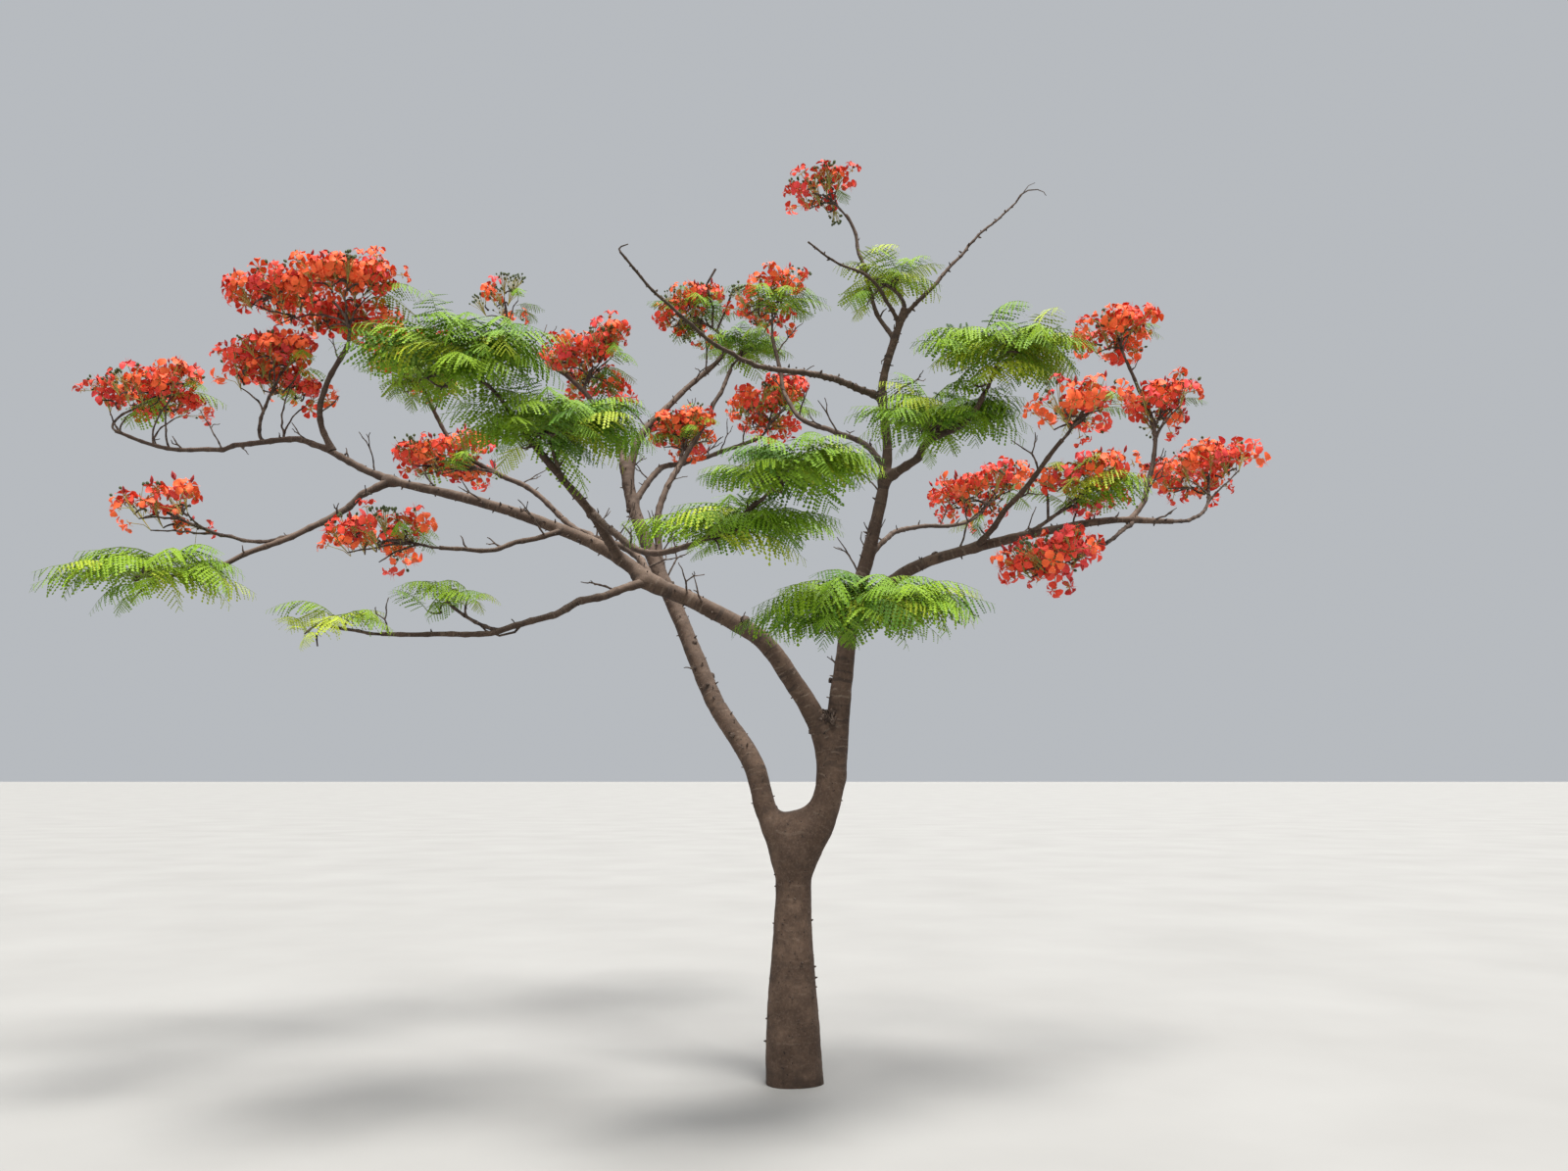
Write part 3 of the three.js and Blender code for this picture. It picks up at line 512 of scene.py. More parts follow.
# Where flowers or buds are sparser or denser than elsewhere.
FULLNESS = {"blossom_left_high": 1.25, "blossom_left_mid": 1.15, "blossom_left_drop": 0.5,
            "blossom_under": 0.7, "blossom_buds": 0.6, "blossom_hub_left": 0.7, "blossom_hub_right": 0.7,
            "blossom_right_front": 0.75, "blossom_right_back": 0.8, "leaves_back_left": 0.6,
            "blossom_top": 0.75}
BUDDING = {"blossom_buds": 0.6, "blossom_back_high": 0.3, "blossom_left_end": 0.22, "blossom_hub_left": 0.25,
           "blossom_top": 0.3, "blossom_right_top": 0.2}


# The growth rule, as the solids follow it: limbs, then each mass's stem, twigs, leaves and bloom heads.

def unit(vector):
    """The same direction, one metre long."""
    return vector / max(np.linalg.norm(vector), 1e-9)


def direction(bearing, lift):
    """A unit direction at a bearing round the trunk, lifted out of the level by a share."""
    return unit(np.array((math.cos(bearing), math.sin(bearing), lift)))


def curve_from(start, stations):
    """Points at offsets from a start, the start itself first."""
    return [start, *(start + offset for offset in np.array(stations))]


class Draws:
    """A random source that gives the same draws each time for the same seed."""

    def __init__(self, seed):
        self.state = seed

    def __call__(self):
        self.state = (self.state * 1664525 + 1013904223) % 2 ** 32
        return self.state / 2 ** 32

    def between(self, low, high):
        """A draw between two values."""
        return low + (high - low) * self()

    def offset(self, reach):
        """An offset of up to a reach on each axis."""
        return np.array([self.between(-reach, reach) for _ in "xyz"])

    def pick(self, count):
        """One of a count of kinds, by its number."""
        return min(int(self() * count), count - 1)


def lengths_along(points):
    """The length from the first of a line of points to each of them."""
    return np.concatenate([[0], np.cumsum(np.linalg.norm(np.diff(points, axis=0), axis=1))])


class Way:
    """A curve through space, read by its share of length."""

    def __init__(self, place):
        self.place = place
        self.shares = np.linspace(0, 1, WAY_SAMPLES)
        self.lengths = lengths_along([place(share) for share in self.shares])
        self.length = self.lengths[-1]

    def inner(self, share):
        """The curve's own parameter at a share of its length."""
        return np.interp(share * self.length, self.lengths, self.shares)

    def at(self, share):
        """The point at a share of the length."""
        return self.place(self.inner(share))

    def heading(self, share):
        """The direction onwards at a share of the length."""
        inner = self.inner(share)
        return unit(self.place(min(inner + 1e-4, 1)) - self.place(max(inner - 1e-4, 0)))


def spline(points):
    """A centripetal Catmull-Rom spline through points."""
    points = [np.array(point, float) for point in points]
    ends = [2 * points[0] - points[1], *points, 2 * points[-1] - points[-2]]
    spans = len(points) - 1

    def place(share):
        whole = min(int(share * spans), spans - 1)
        part = share * spans - whole
        p0, p1, p2, p3 = ends[whole:whole + 4]
        d0, d1, d2 = (np.linalg.norm(b - a) ** 0.5 for a, b in ((p0, p1), (p1, p2), (p2, p3)))
        t1 = ((p1 - p0) / d0 - (p2 - p0) / (d0 + d1) + (p2 - p1) / d1) * d1
        t2 = ((p2 - p1) / d1 - (p3 - p1) / (d1 + d2) + (p3 - p2) / d2) * d1
        square = 3 * (p2 - p1) - 2 * t1 - t2
        cube = 2 * (p1 - p2) + t1 + t2
        return p1 + part * (t1 + part * (square + part * cube))

    return place


def bend(start, middle, end):
    """A curve that leaves start towards middle and reaches end."""
    return lambda share: (1 - share) ** 2 * start + 2 * share * (1 - share) * middle + share ** 2 * end


def trunk_station(height):
    """The trunk's middle and half sizes at a height, from the foot through the waist to the fork."""
    height = np.clip(height, 0, FORK_HEIGHT)
    below = np.minimum(height / WAIST_HEIGHT, 1)
    above = np.maximum(height - WAIST_HEIGHT, 0) / (FORK_HEIGHT - WAIST_HEIGHT)
    column = WAIST_RADIUS + (FOOT_RADIUS - WAIST_RADIUS) * (1 + np.cos(np.pi * below)) / 2
    opening = above ** FORK_OPENING
    middle = FORK_LEAN * opening - WAIST_LEAN * np.sin(np.pi * below)
    width = column + (FORK_HALF_WIDTH - WAIST_RADIUS) * opening
    depth = column + (FORK_HALF_DEPTH - WAIST_RADIUS) * opening
    return middle, width, depth


class Mass:
    """A mass of leaves or blossom, which fills its own space round a centre."""

    def __init__(self, name, index, limb, at, centre, reach, leaves, blooms, via=None):
        self.name, self.limb, self.at, self.via = name, limb, at, via
        self.middle, self.extent = np.array(centre, float), np.array(reach, float)
        self.leaves, self.blooms, self.seed = leaves, blooms, FIRST_SEED + index
        self.leafy = leaves > blooms
        self.leaves_under = not self.leafy and name not in LEAFY_BLOSSOM
        self.wedges, self.grown, self.heads, self.leaf_twigs = [], [], [], []

    def depth(self, points):
        """How far points lie from the centre, where 1 is the edge of the mass's space."""
        return np.linalg.norm((points - self.middle) / self.extent, axis=-1)

    def has_room(self, points, reach=1.0):
        """True where every point is inside this mass's own space and clear of every limb and other stem."""
        points = np.array(points)
        depths = self.depth(points)
        if (depths > reach).any() or (points[:, 2] < 0).any():
            return False
        crossed = (other.depth(points) < depths + SPACE_MARGIN for other in self.neighbours)
        if reach == 1 and any(nearer.any() for nearer in crossed):
            return False
        return all(clearance(line, points).min() > LIMB_MARGIN for line in self.obstacles)


def line_along(way, end, steps, radius_at):
    """Points and radii along a limb or stem, for tests of what touches it."""
    shares = [end * i / steps for i in range(steps + 1)]
    return np.array([way.at(share) for share in shares]), np.array([radius_at(share) for share in shares])


def feet_on(places, points):
    """For each point and each span of a line: the share of the span nearest to it, and the way from there."""
    spans = np.diff(places, axis=0)
    off = points[:, None] - places[:-1]
    shares = np.clip((off * spans).sum(-1) / (spans ** 2).sum(-1), 0, 1)
    return shares, off - shares[..., None] * spans


def clearance(line, points):
    """The distance from points to the way of a limb or stem, less its radius."""
    places, radii = line
    return (np.linalg.norm(feet_on(places, points)[1], axis=-1) - radii[1:]).min(axis=1)


class Limb:
    """A limb's way, its radius along it, and where it ends."""

    def __init__(self, name, parent):
        _, at, self.radius, way = LIMBS[name]
        self.name, self.parent, self.start_share = name, parent, at
        base, tip = self.radius
        if parent:
            start = parent.way.at(at * parent.end)
        else:
            height = FORK_HEIGHT * at
            start = np.array((trunk_station(height)[0], 0, height))
        self.way = Way(spline([start, *way]))
        taper = TAPERS.get(name, LIMB_TAPER)
        self.radius_at = lambda share: tip + (base - tip) * (1 - share) ** taper
        ending = next((mass for mass in masses if mass.limb == name and mass.at is None), None)
        self.end = 1
        while ending and ending.depth(self.way.at(self.end)) < ENTRY_DEPTH:
            self.end -= 0.01
        steps = max(3, round(self.way.length * self.end / LIMB_STEP))
        self.line = line_along(self.way, self.end, 4 * steps, self.radius_at)

    def station(self, share):
        """The point, the direction and the radius at a share of the way."""
        return self.way.at(share), self.way.heading(share), self.radius_at(share)


class Stem:
    """A mass's stem: it leaves its limb at an acute angle, or goes on from its tip, to the mass's middle."""

    def __init__(self, mass, limb):
        share = (1 if mass.at is None else mass.at) * limb.end
        start, heading, limb_radius = limb.station(share)
        along = np.linalg.norm(mass.middle - start) * STEM_LEAVES_ALONG
        middle = start + heading * along if mass.via is None else np.array(mass.via)
        inside = start - heading * (limb_radius if mass.at is None else 0)
        self.way = Way(bend(inside, middle, mass.middle))
        root = min(limb_radius * STEM_RADIUS_SHARE, STEM_RADIUS_MOST)
        self.radius_at = lambda share: STEM_TIP_RADIUS + (root - STEM_TIP_RADIUS) * (1 - share)
        self.line = line_along(self.way, 1, 4 * STEM_STEPS, self.radius_at)


class Twig:
    """A straight twig of a mass, whose direction follows the golden angle round the mass."""

    def __init__(self, mass, share, i, blooming, random, finer):
        self.mass = mass
        self.turn = i * GOLDEN_ANGLE + TURN_DRAW * random()
        if blooming:
            self.rise = 1 - (FINER_FALL if finer else BLOOM_FALL) * ((i * GOLDEN_SHARE + BLOOM_PHASE) % 1)
        else:
            self.rise = LEAF_RISE * (1 - 2 * ((i * GOLDEN_SHARE + LEAF_PHASE) % 1))
        ring = math.sqrt(max(1 - self.rise ** 2, 0))
        tier = self.rise if blooming else self.rise * LEAF_TIERS
        room = mass.extent - (BLOOM_RADIUS * BLOOM_INSET if blooming else 0)
        spread = (BLOOM_SPREAD if blooming else LEAF_SPREAD) + SPREAD_DRAW * random()
        out = np.array((ring * math.cos(self.turn), ring * math.sin(self.turn), tier))
        if finer:
            if not blooming and mass.leaves_under:
                out[2] = -abs(out[2])
            wider = random.between(*(FINER_HEAD_OUT if blooming else FINER_LEAF_OUT))
            out = out * (wider, wider, min(wider, 1))
        self.end = out * room * spread + mass.middle
        stem_share = FIRST_TWIG + (LAST_TWIG - FIRST_TWIG) * share
        self.start = mass.stem.way.at(stem_share)
        self.heading = mass.stem.way.heading(stem_share)

    def at(self, share):
        """The point at a share of the twig."""
        return self.start + share * (self.end - self.start)

    def clear(self):
        """True where the whole twig has room in its mass."""
        return self.mass.has_room([self.at(share) for share in TWIG_TESTS])


class Leaf:
    """A feathery leaf: an arched, drooping blade from a root on its twig."""

    def __init__(self, mass, root, heading, length, sag):
        self.mass, self.root, self.heading, self.length, self.sag = mass, root, heading, length, sag
        self.side = unit(np.cross(UP, heading))
        self.face = unit(np.cross(heading, self.side))
        self.crest = root + heading * length / 2 + UP * length * sag * LEAF_ARCH
        self.tip = root + heading * length - UP * length * sag

    def clear(self):
        """True where the leaf's outline has room in its mass."""
        wide = self.side * self.length * LEAF_WIDTH_SHARE / 2
        return self.mass.has_room([self.crest, self.tip, self.crest + wide, self.crest - wide,
                                   (self.root + self.crest) / 2, (self.crest + self.tip) / 2])

    def wedge(self):
        """The leaf's simple blade as a tree of faces, for tests of which leaves cross."""
        corners = []
        stations = ((self.root, LEAF_ROOT_RADIUS, LEAF_ROOT_RADIUS),
                    (self.crest, self.length * LEAF_WIDTH_SHARE / 2, self.length * LEAF_THICKNESS_SHARE / 2))
        for point, width, depth in stations:
            for turn in (0, 2 * math.pi / 3, 4 * math.pi / 3):
                across, above = width * math.sin(turn), depth * math.cos(turn)
                corners.append(point + self.side * across - self.face * above)
        faces = [(0, 1, 4, 3), (1, 2, 5, 4), (2, 0, 3, 5), (3, 4, 6), (4, 5, 6), (5, 3, 6), (0, 2, 1)]
        return BVHTree.FromPolygons([tuple(corner) for corner in [*corners, self.tip]], faces)


def place_finer_leaf(mass, root, outward, lift, sag):
    """A leaf between the others, which may overlap them and reach a little further than they do."""
    for aside in TURN_TRIES:
        heading = direction(outward + aside, lift)
        length = leaf_length(mass, root, heading, FINER_LEAF_REACH)
        leaf = Leaf(mass, root, heading, length, sag)
        ends = [leaf.crest, leaf.tip]
        if length > FINER_LEAF_LEAST and mass.has_room(ends, FINER_LEAF_REACH) and inside_box(ends):
            return leaf
    return None


def inside_box(points):
    """True where points lie well inside the whole part's box."""
    lowest, highest = np.array(cad_box)
    points = np.array(points)
    return (points > lowest + BOX_MARGIN).all() and (points < highest - BOX_MARGIN).all()


def leaf_length(mass, root, heading, reach=1.0):
    """The length that a leaf may have from its root to the edge of its mass's space."""
    off, step = (root - mass.middle) / mass.extent / reach, heading / mass.extent / reach
    a, b = step @ step, off @ step
    room = (-b + math.sqrt(max(b * b - a * (off @ off - 1), 0))) / a
    return min(room * SPACE_FILLED, LEAF_LENGTH_MOST)


def place_leaf(mass, root, outward, lift, sag):
    """A leaf is turned a little, and then shortened, until it is clear of the leaves already there."""
    for cut in SIZE_TRIES:
        for aside in TURN_TRIES:
            heading = direction(outward + aside, lift)
            length = cut * leaf_length(mass, root, heading)
            leaf = Leaf(mass, root, heading, length, sag)
            if length <= LEAF_LENGTH_LEAST or not leaf.clear():
                continue
            wedge = leaf.wedge()
            if not any(wedge.overlap(other) for other in mass.wedges):
                mass.wedges.append(wedge)
                return leaf
    return None


def place_head(mass, centre, spacing):
    """The radius of a bloom head that fits at a centre clear of the mass's other heads, or None."""
    for size in SIZE_TRIES:
        radius = BLOOM_RADIUS * size
        crowded = any(np.linalg.norm(other.end - centre) < spacing * (other_radius + radius)
                      for other, other_radius in mass.heads)
        rim = np.diag((1, 1, BLOOM_FLATNESS)) * radius
        if not crowded and mass.has_room([*(centre + rim), *(centre - rim)]):
            return radius
    return None


def grow(mass, first, leaf_twigs, leaves, blooms, random, finer=False):
    """Twigs fan out from the stem. The first few carry leaves, and the others each end in a bloom head."""
    twigs = leaf_twigs + blooms
    leaf_rounds = FINER_LEAF_ROUNDS if mass.leafy else 1
    leaves_by = [math.floor(min(i / max(leaf_twigs, 1), 1) * leaves) for i in range(twigs + 1)]
    for i in range(twigs * (FINER_TRIES if finer else 1)):
        slot = i % twigs
        blooming = slot >= leaf_twigs
        if finer and not blooming and i >= leaf_rounds * twigs:
            continue
        twig = Twig(mass, (slot + 1) / twigs, first + i, blooming, random, finer)
        count = 0 if blooming else leaves_by[slot + 1] - leaves_by[slot]
        draws = [random() for _ in range(2 * count)]
        if not twig.clear():
            continue
        if blooming:
            radius = place_head(mass, twig.end, FINER_SPACING if finer else BLOOM_SPACING)
            if radius:
                mass.heads.append((twig, radius))
            continue
        mass.leaf_twigs.append(twig)
        for k in range(count):
            turning, sagging = draws[2 * k] - 0.5, draws[2 * k + 1]
            sag = LEAF_SAG * (SAG_DRAWS[0] + SAG_DRAWS[1] * sagging)
            if finer:
                root = twig.at(LAST_LEAF - FINER_LEAF_STEP * k)
                lift = random.between(*(UNDER_BLOSSOM_LIFT if mass.leaves_under else FINER_LEAF_LIFT))
                outward = twig.turn + k * GOLDEN_ANGLE + turning
                leaf = place_finer_leaf(mass, root, outward, lift, sag * FINER_SAG)
            else:
                root = twig.at(LAST_LEAF - LEAF_STEP * k)
                lift = LEAF_LIFT + LEAF_LIFT_RISE * twig.rise
                outward = twig.turn + (k - (count - 1) / 2) * LEAF_TURN + turning
                leaf = place_leaf(mass, root, outward, lift, sag)
            if leaf:
                mass.grown.append(leaf)


masses = [Mass(name, index, *row) for index, (name, row) in enumerate(MASSES.items())]
limbs = {}
for name, (parent, *_) in LIMBS.items():
    limbs[name] = Limb(name, limbs.get(parent))
for mass in masses:
    mass.stem = Stem(mass, limbs[mass.limb])
for mass in masses:
    others = [other for other in masses if other is not mass]
    lines = [limb.line for limb in limbs.values()] + [other.stem.line for other in others]
    mass.neighbours = [other for other in others if np.linalg.norm(mass.middle - other.middle)
                       < mass.extent.max() + other.extent.max()]
    mass.obstacles = [line for line in lines if (mass.depth(line[0]) < OBSTACLE_DEPTH).any()]
    leaf_twigs = math.ceil(mass.leaves / LEAVES_A_TWIG)
    grow(mass, 0, leaf_twigs, mass.leaves, mass.blooms, Draws(mass.seed))
    if mass.leafy:
        finer_twigs = math.floor(leaf_twigs * FINER_TWIGS)
    else:
        finer_twigs = LEAFY_BLOSSOM.get(mass.name, 1)
    finer_leaves = round(finer_twigs * FINER_LEAVES_A_TWIG * LEAFINESS.get(mass.name, 1))
    grow(mass, leaf_twigs + mass.blooms, finer_twigs, finer_leaves,
         math.ceil(mass.blooms * FINER_HEADS), Draws(mass.seed + FINER_SEED), True)


# Making meshes and node trees.

def step(tree, kind, inputs=None, **settings):
    """A node with its settings, whose inputs each take a value or another node's output."""
    node = tree.nodes.new(kind)
    for name, value in settings.items():
        setattr(node, name, value)
    for name, value in (inputs or {}).items():
        if isinstance(value, bpy.types.NodeSocket):
            tree.links.new(value, node.inputs[name])
        else:
            node.inputs[name].default_value = value
    return node


def geometry_tree(name, sockets):
    """An empty Geometry Nodes tree with named inputs, and its input node's sockets."""
    tree = bpy.data.node_groups.new(name, "GeometryNodeTree")
    tree.interface.new_socket("Geometry", in_out="OUTPUT", socket_type="NodeSocketGeometry")
    for label, kind in (("Geometry", "Geometry"), *sockets, ("Finish", "Material")):
        tree.interface.new_socket(label, in_out="INPUT", socket_type="NodeSocket" + kind)
    return tree, tree.nodes.new("NodeGroupInput").outputs


def end_tree(tree, geometry, given, smooth):
    """The tree's end: instances made real, shading and the material."""
    real = step(tree, "GeometryNodeRealizeInstances", {"Geometry": geometry})
    shaded = step(tree, "GeometryNodeSetShadeSmooth", {"Geometry": real.outputs[0], "Shade Smooth": smooth})
    finished = step(tree, "GeometryNodeSetMaterial",
                    {"Geometry": shaded.outputs[0], "Material": given["Finish"]})
    step(tree, "NodeGroupOutput", {"Geometry": finished.outputs[0]})
    return tree


def attribute(tree, name, kind="FLOAT"):
    """A value that each point of the mesh carries under a name."""
    node = step(tree, "GeometryNodeInputNamedAttribute", {"Name": name}, data_type=kind)
    return node.outputs["Attribute"]


def sum_of(tree, operation, *values):
    """The result of a sum on up to three values."""
    return step(tree, "ShaderNodeMath", dict(enumerate(values)), operation=operation).outputs[0]


def tube_tree():
    """Round tubes along the edges of a mesh, as thick as its points say."""
    tree, given = geometry_tree("tubes", (("Sides", "Int"),))
    ways = step(tree, "GeometryNodeMeshToCurve", {"Mesh": given["Geometry"]})
    ring = step(tree, "GeometryNodeCurvePrimitiveCircle", {"Resolution": given["Sides"], "Radius": 1.0})
    tubes = step(tree, "GeometryNodeCurveToMesh",
                 {"Curve": ways.outputs[0], "Profile Curve": ring.outputs[0],
                  "Scale": attribute(tree, "radius"), "Fill Caps": True})
    return end_tree(tree, tubes.outputs[0], given, True)


def scatter_tree(name, smooth):
    """A copy of one of a collection's shapes at each point of a mesh, turned and sized as the point says."""
    tree, given = geometry_tree(name, (("Shapes", "Collection"),))
    shapes = step(tree, "GeometryNodeCollectionInfo",
                  {"Collection": given["Shapes"], "Separate Children": True, "Reset Children": True})
    turn = step(tree, "FunctionNodeEulerToRotation", {"Euler": attribute(tree, "turn", "FLOAT_VECTOR")})
    copies = step(tree, "GeometryNodeInstanceOnPoints",
                  {"Points": given["Geometry"], "Instance": shapes.outputs[0], "Pick Instance": True,
                   "Instance Index": attribute(tree, "kind", "INT"), "Rotation": turn.outputs[0],
                   "Scale": attribute(tree, "size")})
    return end_tree(tree, copies.outputs[0], given, smooth)


def relief_tree():
    """Bark pushed in and out along its normals: slow swellings and sparse pits."""
    tree, given = geometry_tree("bark relief", (("Swelling", "Float"), ("Pits", "Float")))
    slow = step(tree, "ShaderNodeTexNoise", {"Scale": 9.0, "Detail": 3.0, "Roughness": 0.55})
    quick = step(tree, "ShaderNodeTexNoise", {"Scale": 34.0, "Detail": 2.0})
    swell = sum_of(tree, "SUBTRACT", slow.outputs["Fac"], 0.5)
    swell = sum_of(tree, "MULTIPLY", swell, given["Swelling"])
    pit = step(tree, "ShaderNodeMapRange",
               {"Value": quick.outputs["Fac"], "From Min": 0.36, "From Max": 0.3, "To Max": 1.0})
    pit = sum_of(tree, "MULTIPLY", pit.outputs[0], given["Pits"])
    push = sum_of(tree, "SUBTRACT", swell, pit)
    normal = step(tree, "GeometryNodeInputNormal")
    offset = step(tree, "ShaderNodeVectorMath", {0: normal.outputs[0], "Scale": push}, operation="SCALE")
    pushed = step(tree, "GeometryNodeSetPosition",
                  {"Geometry": given["Geometry"], "Offset": offset.outputs[0]})
    return end_tree(tree, pushed.outputs[0], given, True)


def plain_mesh(name, points, edges=(), faces=(), **values):
    """A mesh from arrays, with a value of each given name for each point."""
    mesh = bpy.data.meshes.new(name)
    mesh.from_pydata(np.asarray(points, float).tolist(), list(edges), list(faces))
    for label, data in values.items():
        data = np.asarray(data)
        kind = "INT" if data.dtype.kind == "i" else "FLOAT" if data.ndim == 1 else "FLOAT_VECTOR"
        layer = mesh.attributes.new(label, kind, "POINT")
        layer.data.foreach_set("vector" if kind == "FLOAT_VECTOR" else "value", data.ravel())
    return mesh


def placed(name, data):
    """A new object in the scene."""
    piece = bpy.data.objects.new(name, data)
    scene.collection.objects.link(piece)
    return piece


def evaluated(piece):
    """The plain mesh that a piece's modifier makes from its own. The modifier is then removed."""
    graph = bpy.context.evaluated_depsgraph_get()
    result = bpy.data.meshes.new_from_object(piece.evaluated_get(graph), depsgraph=graph)
    piece.modifiers.clear()
    return result


def made_by(tree, name, mesh, **inputs):
    """The plain mesh that a Geometry Nodes tree makes from a mesh, as a new object."""
    piece = placed(name, mesh)
    making = piece.modifiers.new("making", "NODES")
    making.node_group = tree
    sockets = {item.name: item.identifier for item in tree.interface.items_tree if item.in_out == "INPUT"}
    for label, value in inputs.items():
        making[sockets[label.capitalize()]] = value
    piece.data = evaluated(piece)
    piece.data.name = name
    return piece


def mesh_of(name, form):
    """A mesh of what a bmesh holds, which is then freed."""
    mesh = bpy.data.meshes.new(name)
    form.to_mesh(mesh)
    form.free()
    return mesh


class Growths:
    """Open ways with their radii, gathered to become one piece of tubes."""

    def __init__(self):
        self.points, self.edges, self.radii, self.along = [], [], [], []

    def add(self, points, radii):
        """A way through points, with a radius at each or one for all."""
        first = len(self.points)
        self.points.extend(points)
        self.radii.extend(np.broadcast_to(radii, len(points)))
        self.along.extend(lengths_along(points))
        self.edges.extend((first + i, first + i + 1) for i in range(len(points) - 1))

    def made(self, name, sides, finish):
        """The piece of tubes, each with so many sides."""
        mesh = plain_mesh(name, self.points, self.edges, radius=self.radii, along=self.along)
        return made_by(TUBES, name, mesh, sides=sides, finish=finish)


class Scatter:
    """Places, turns, sizes and kinds of one shape's copies."""

    def __init__(self):
        self.points, self.turns, self.sizes, self.kinds = [], [], [], []

    def add(self, point, x_axis, z_axis, size, kind):
        """A copy at a point, whose own z stands along z_axis and whose x leans as near x_axis as it can."""
        z_axis = unit(np.asarray(z_axis))
        y_axis = unit(np.cross(z_axis, x_axis))
        x_axis = np.cross(y_axis, z_axis)
        self.points.append(point)
        self.turns.append(tuple(Matrix(np.array((x_axis, y_axis, z_axis)).T.tolist()).to_euler()))
        self.sizes.append(size)
        self.kinds.append(kind)

    def made(self, name, tree, meshes, finish):
        """The piece of all the copies, each of the mesh that its kind says."""
        shapes = bpy.data.collections.new(name + " shapes")
        for i, mesh in enumerate(meshes):
            shapes.objects.link(bpy.data.objects.new(f"{name}_{i}", mesh))
        places = plain_mesh(name, self.points, turn=np.array(self.turns), size=self.sizes,
                            kind=np.array(self.kinds, np.int32))
        piece = made_by(tree, name, places, shapes=shapes, finish=finish)
        for shape in list(shapes.objects):
            bpy.data.objects.remove(shape)
        bpy.data.collections.remove(shapes)
        return piece


# Finishes: each is built up of noises that are spread between two values, and of blends of colours by them.

class Finish:
    """A material that is built up in the space of its own piece."""

    def __init__(self, name, roughness, specular, sheen=0.0):
        self.material = bpy.data.materials.new(name)
        self.material.use_nodes = True
        self.tree = self.material.node_tree
        self.shader = self.tree.nodes["Principled BSDF"]
        levels = {"Roughness": roughness, "Specular IOR Level": specular, "Sheen Weight": sheen}
        for label, value in levels.items():
            self.shader.inputs[label].default_value = value
        self.place = self.output("ShaderNodeTexCoord", "Object")

    def output(self, kind, label, inputs=None, **settings):
        """One output of a new node."""
        return step(self.tree, kind, inputs, **settings).outputs[label]

    def noise(self, scale, detail=3.0, roughness=0.5):
        """Noise through the piece's space."""
        return self.output("ShaderNodeTexNoise", "Fac", {"Vector": self.place, "Scale": scale,
                                                         "Detail": detail, "Roughness": roughness})

    def ringed_noise(self, along, scale, detail):
        """Noise along a length only, so that it rings the limb."""
        return self.output("ShaderNodeTexNoise", "Fac", {"W": along, "Scale": scale, "Detail": detail},
                           noise_dimensions="1D")

    def spread(self, value, low, high, least=0.0, most=1.0):
        """A value stretched so that low gives least and high gives most."""
        return self.output("ShaderNodeMapRange", "Result", {"Value": value, "From Min": low, "From Max": high,
                                                            "To Min": least, "To Max": most})

    def times(self, *values):
        """The product of values."""
        first, *others = values
        for value in others:
            first = sum_of(self.tree, "MULTIPLY", first, value)
        return first

    def height_in(self, vector):
        """The upright part of a place or a direction."""
        return self.output("ShaderNodeSeparateXYZ", "Z", {"Vector": vector})

    def blend(self, amount, colour, under=None):
        """The colour so far, or another, blended with a colour by an amount."""
        node = step(self.tree, "ShaderNodeMix", {"Factor": amount}, data_type="RGBA")
        if under:
            node.inputs[6].default_value = (*under, 1)
        else:
            self.tree.links.new(self.colour, node.inputs[6])
        node.inputs[7].default_value = (*colour, 1)
        self.colour = node.outputs[2]

    def finished(self, height, strength, distance):
        """The material with its colour, and with bumps by a height."""
        bump = self.output("ShaderNodeBump", "Normal",
                           {"Height": height, "Strength": strength, "Distance": distance})
        for output, label in ((bump, "Normal"), (self.colour, "Base Color")):
            self.tree.links.new(output, self.shader.inputs[label])
        return self.material


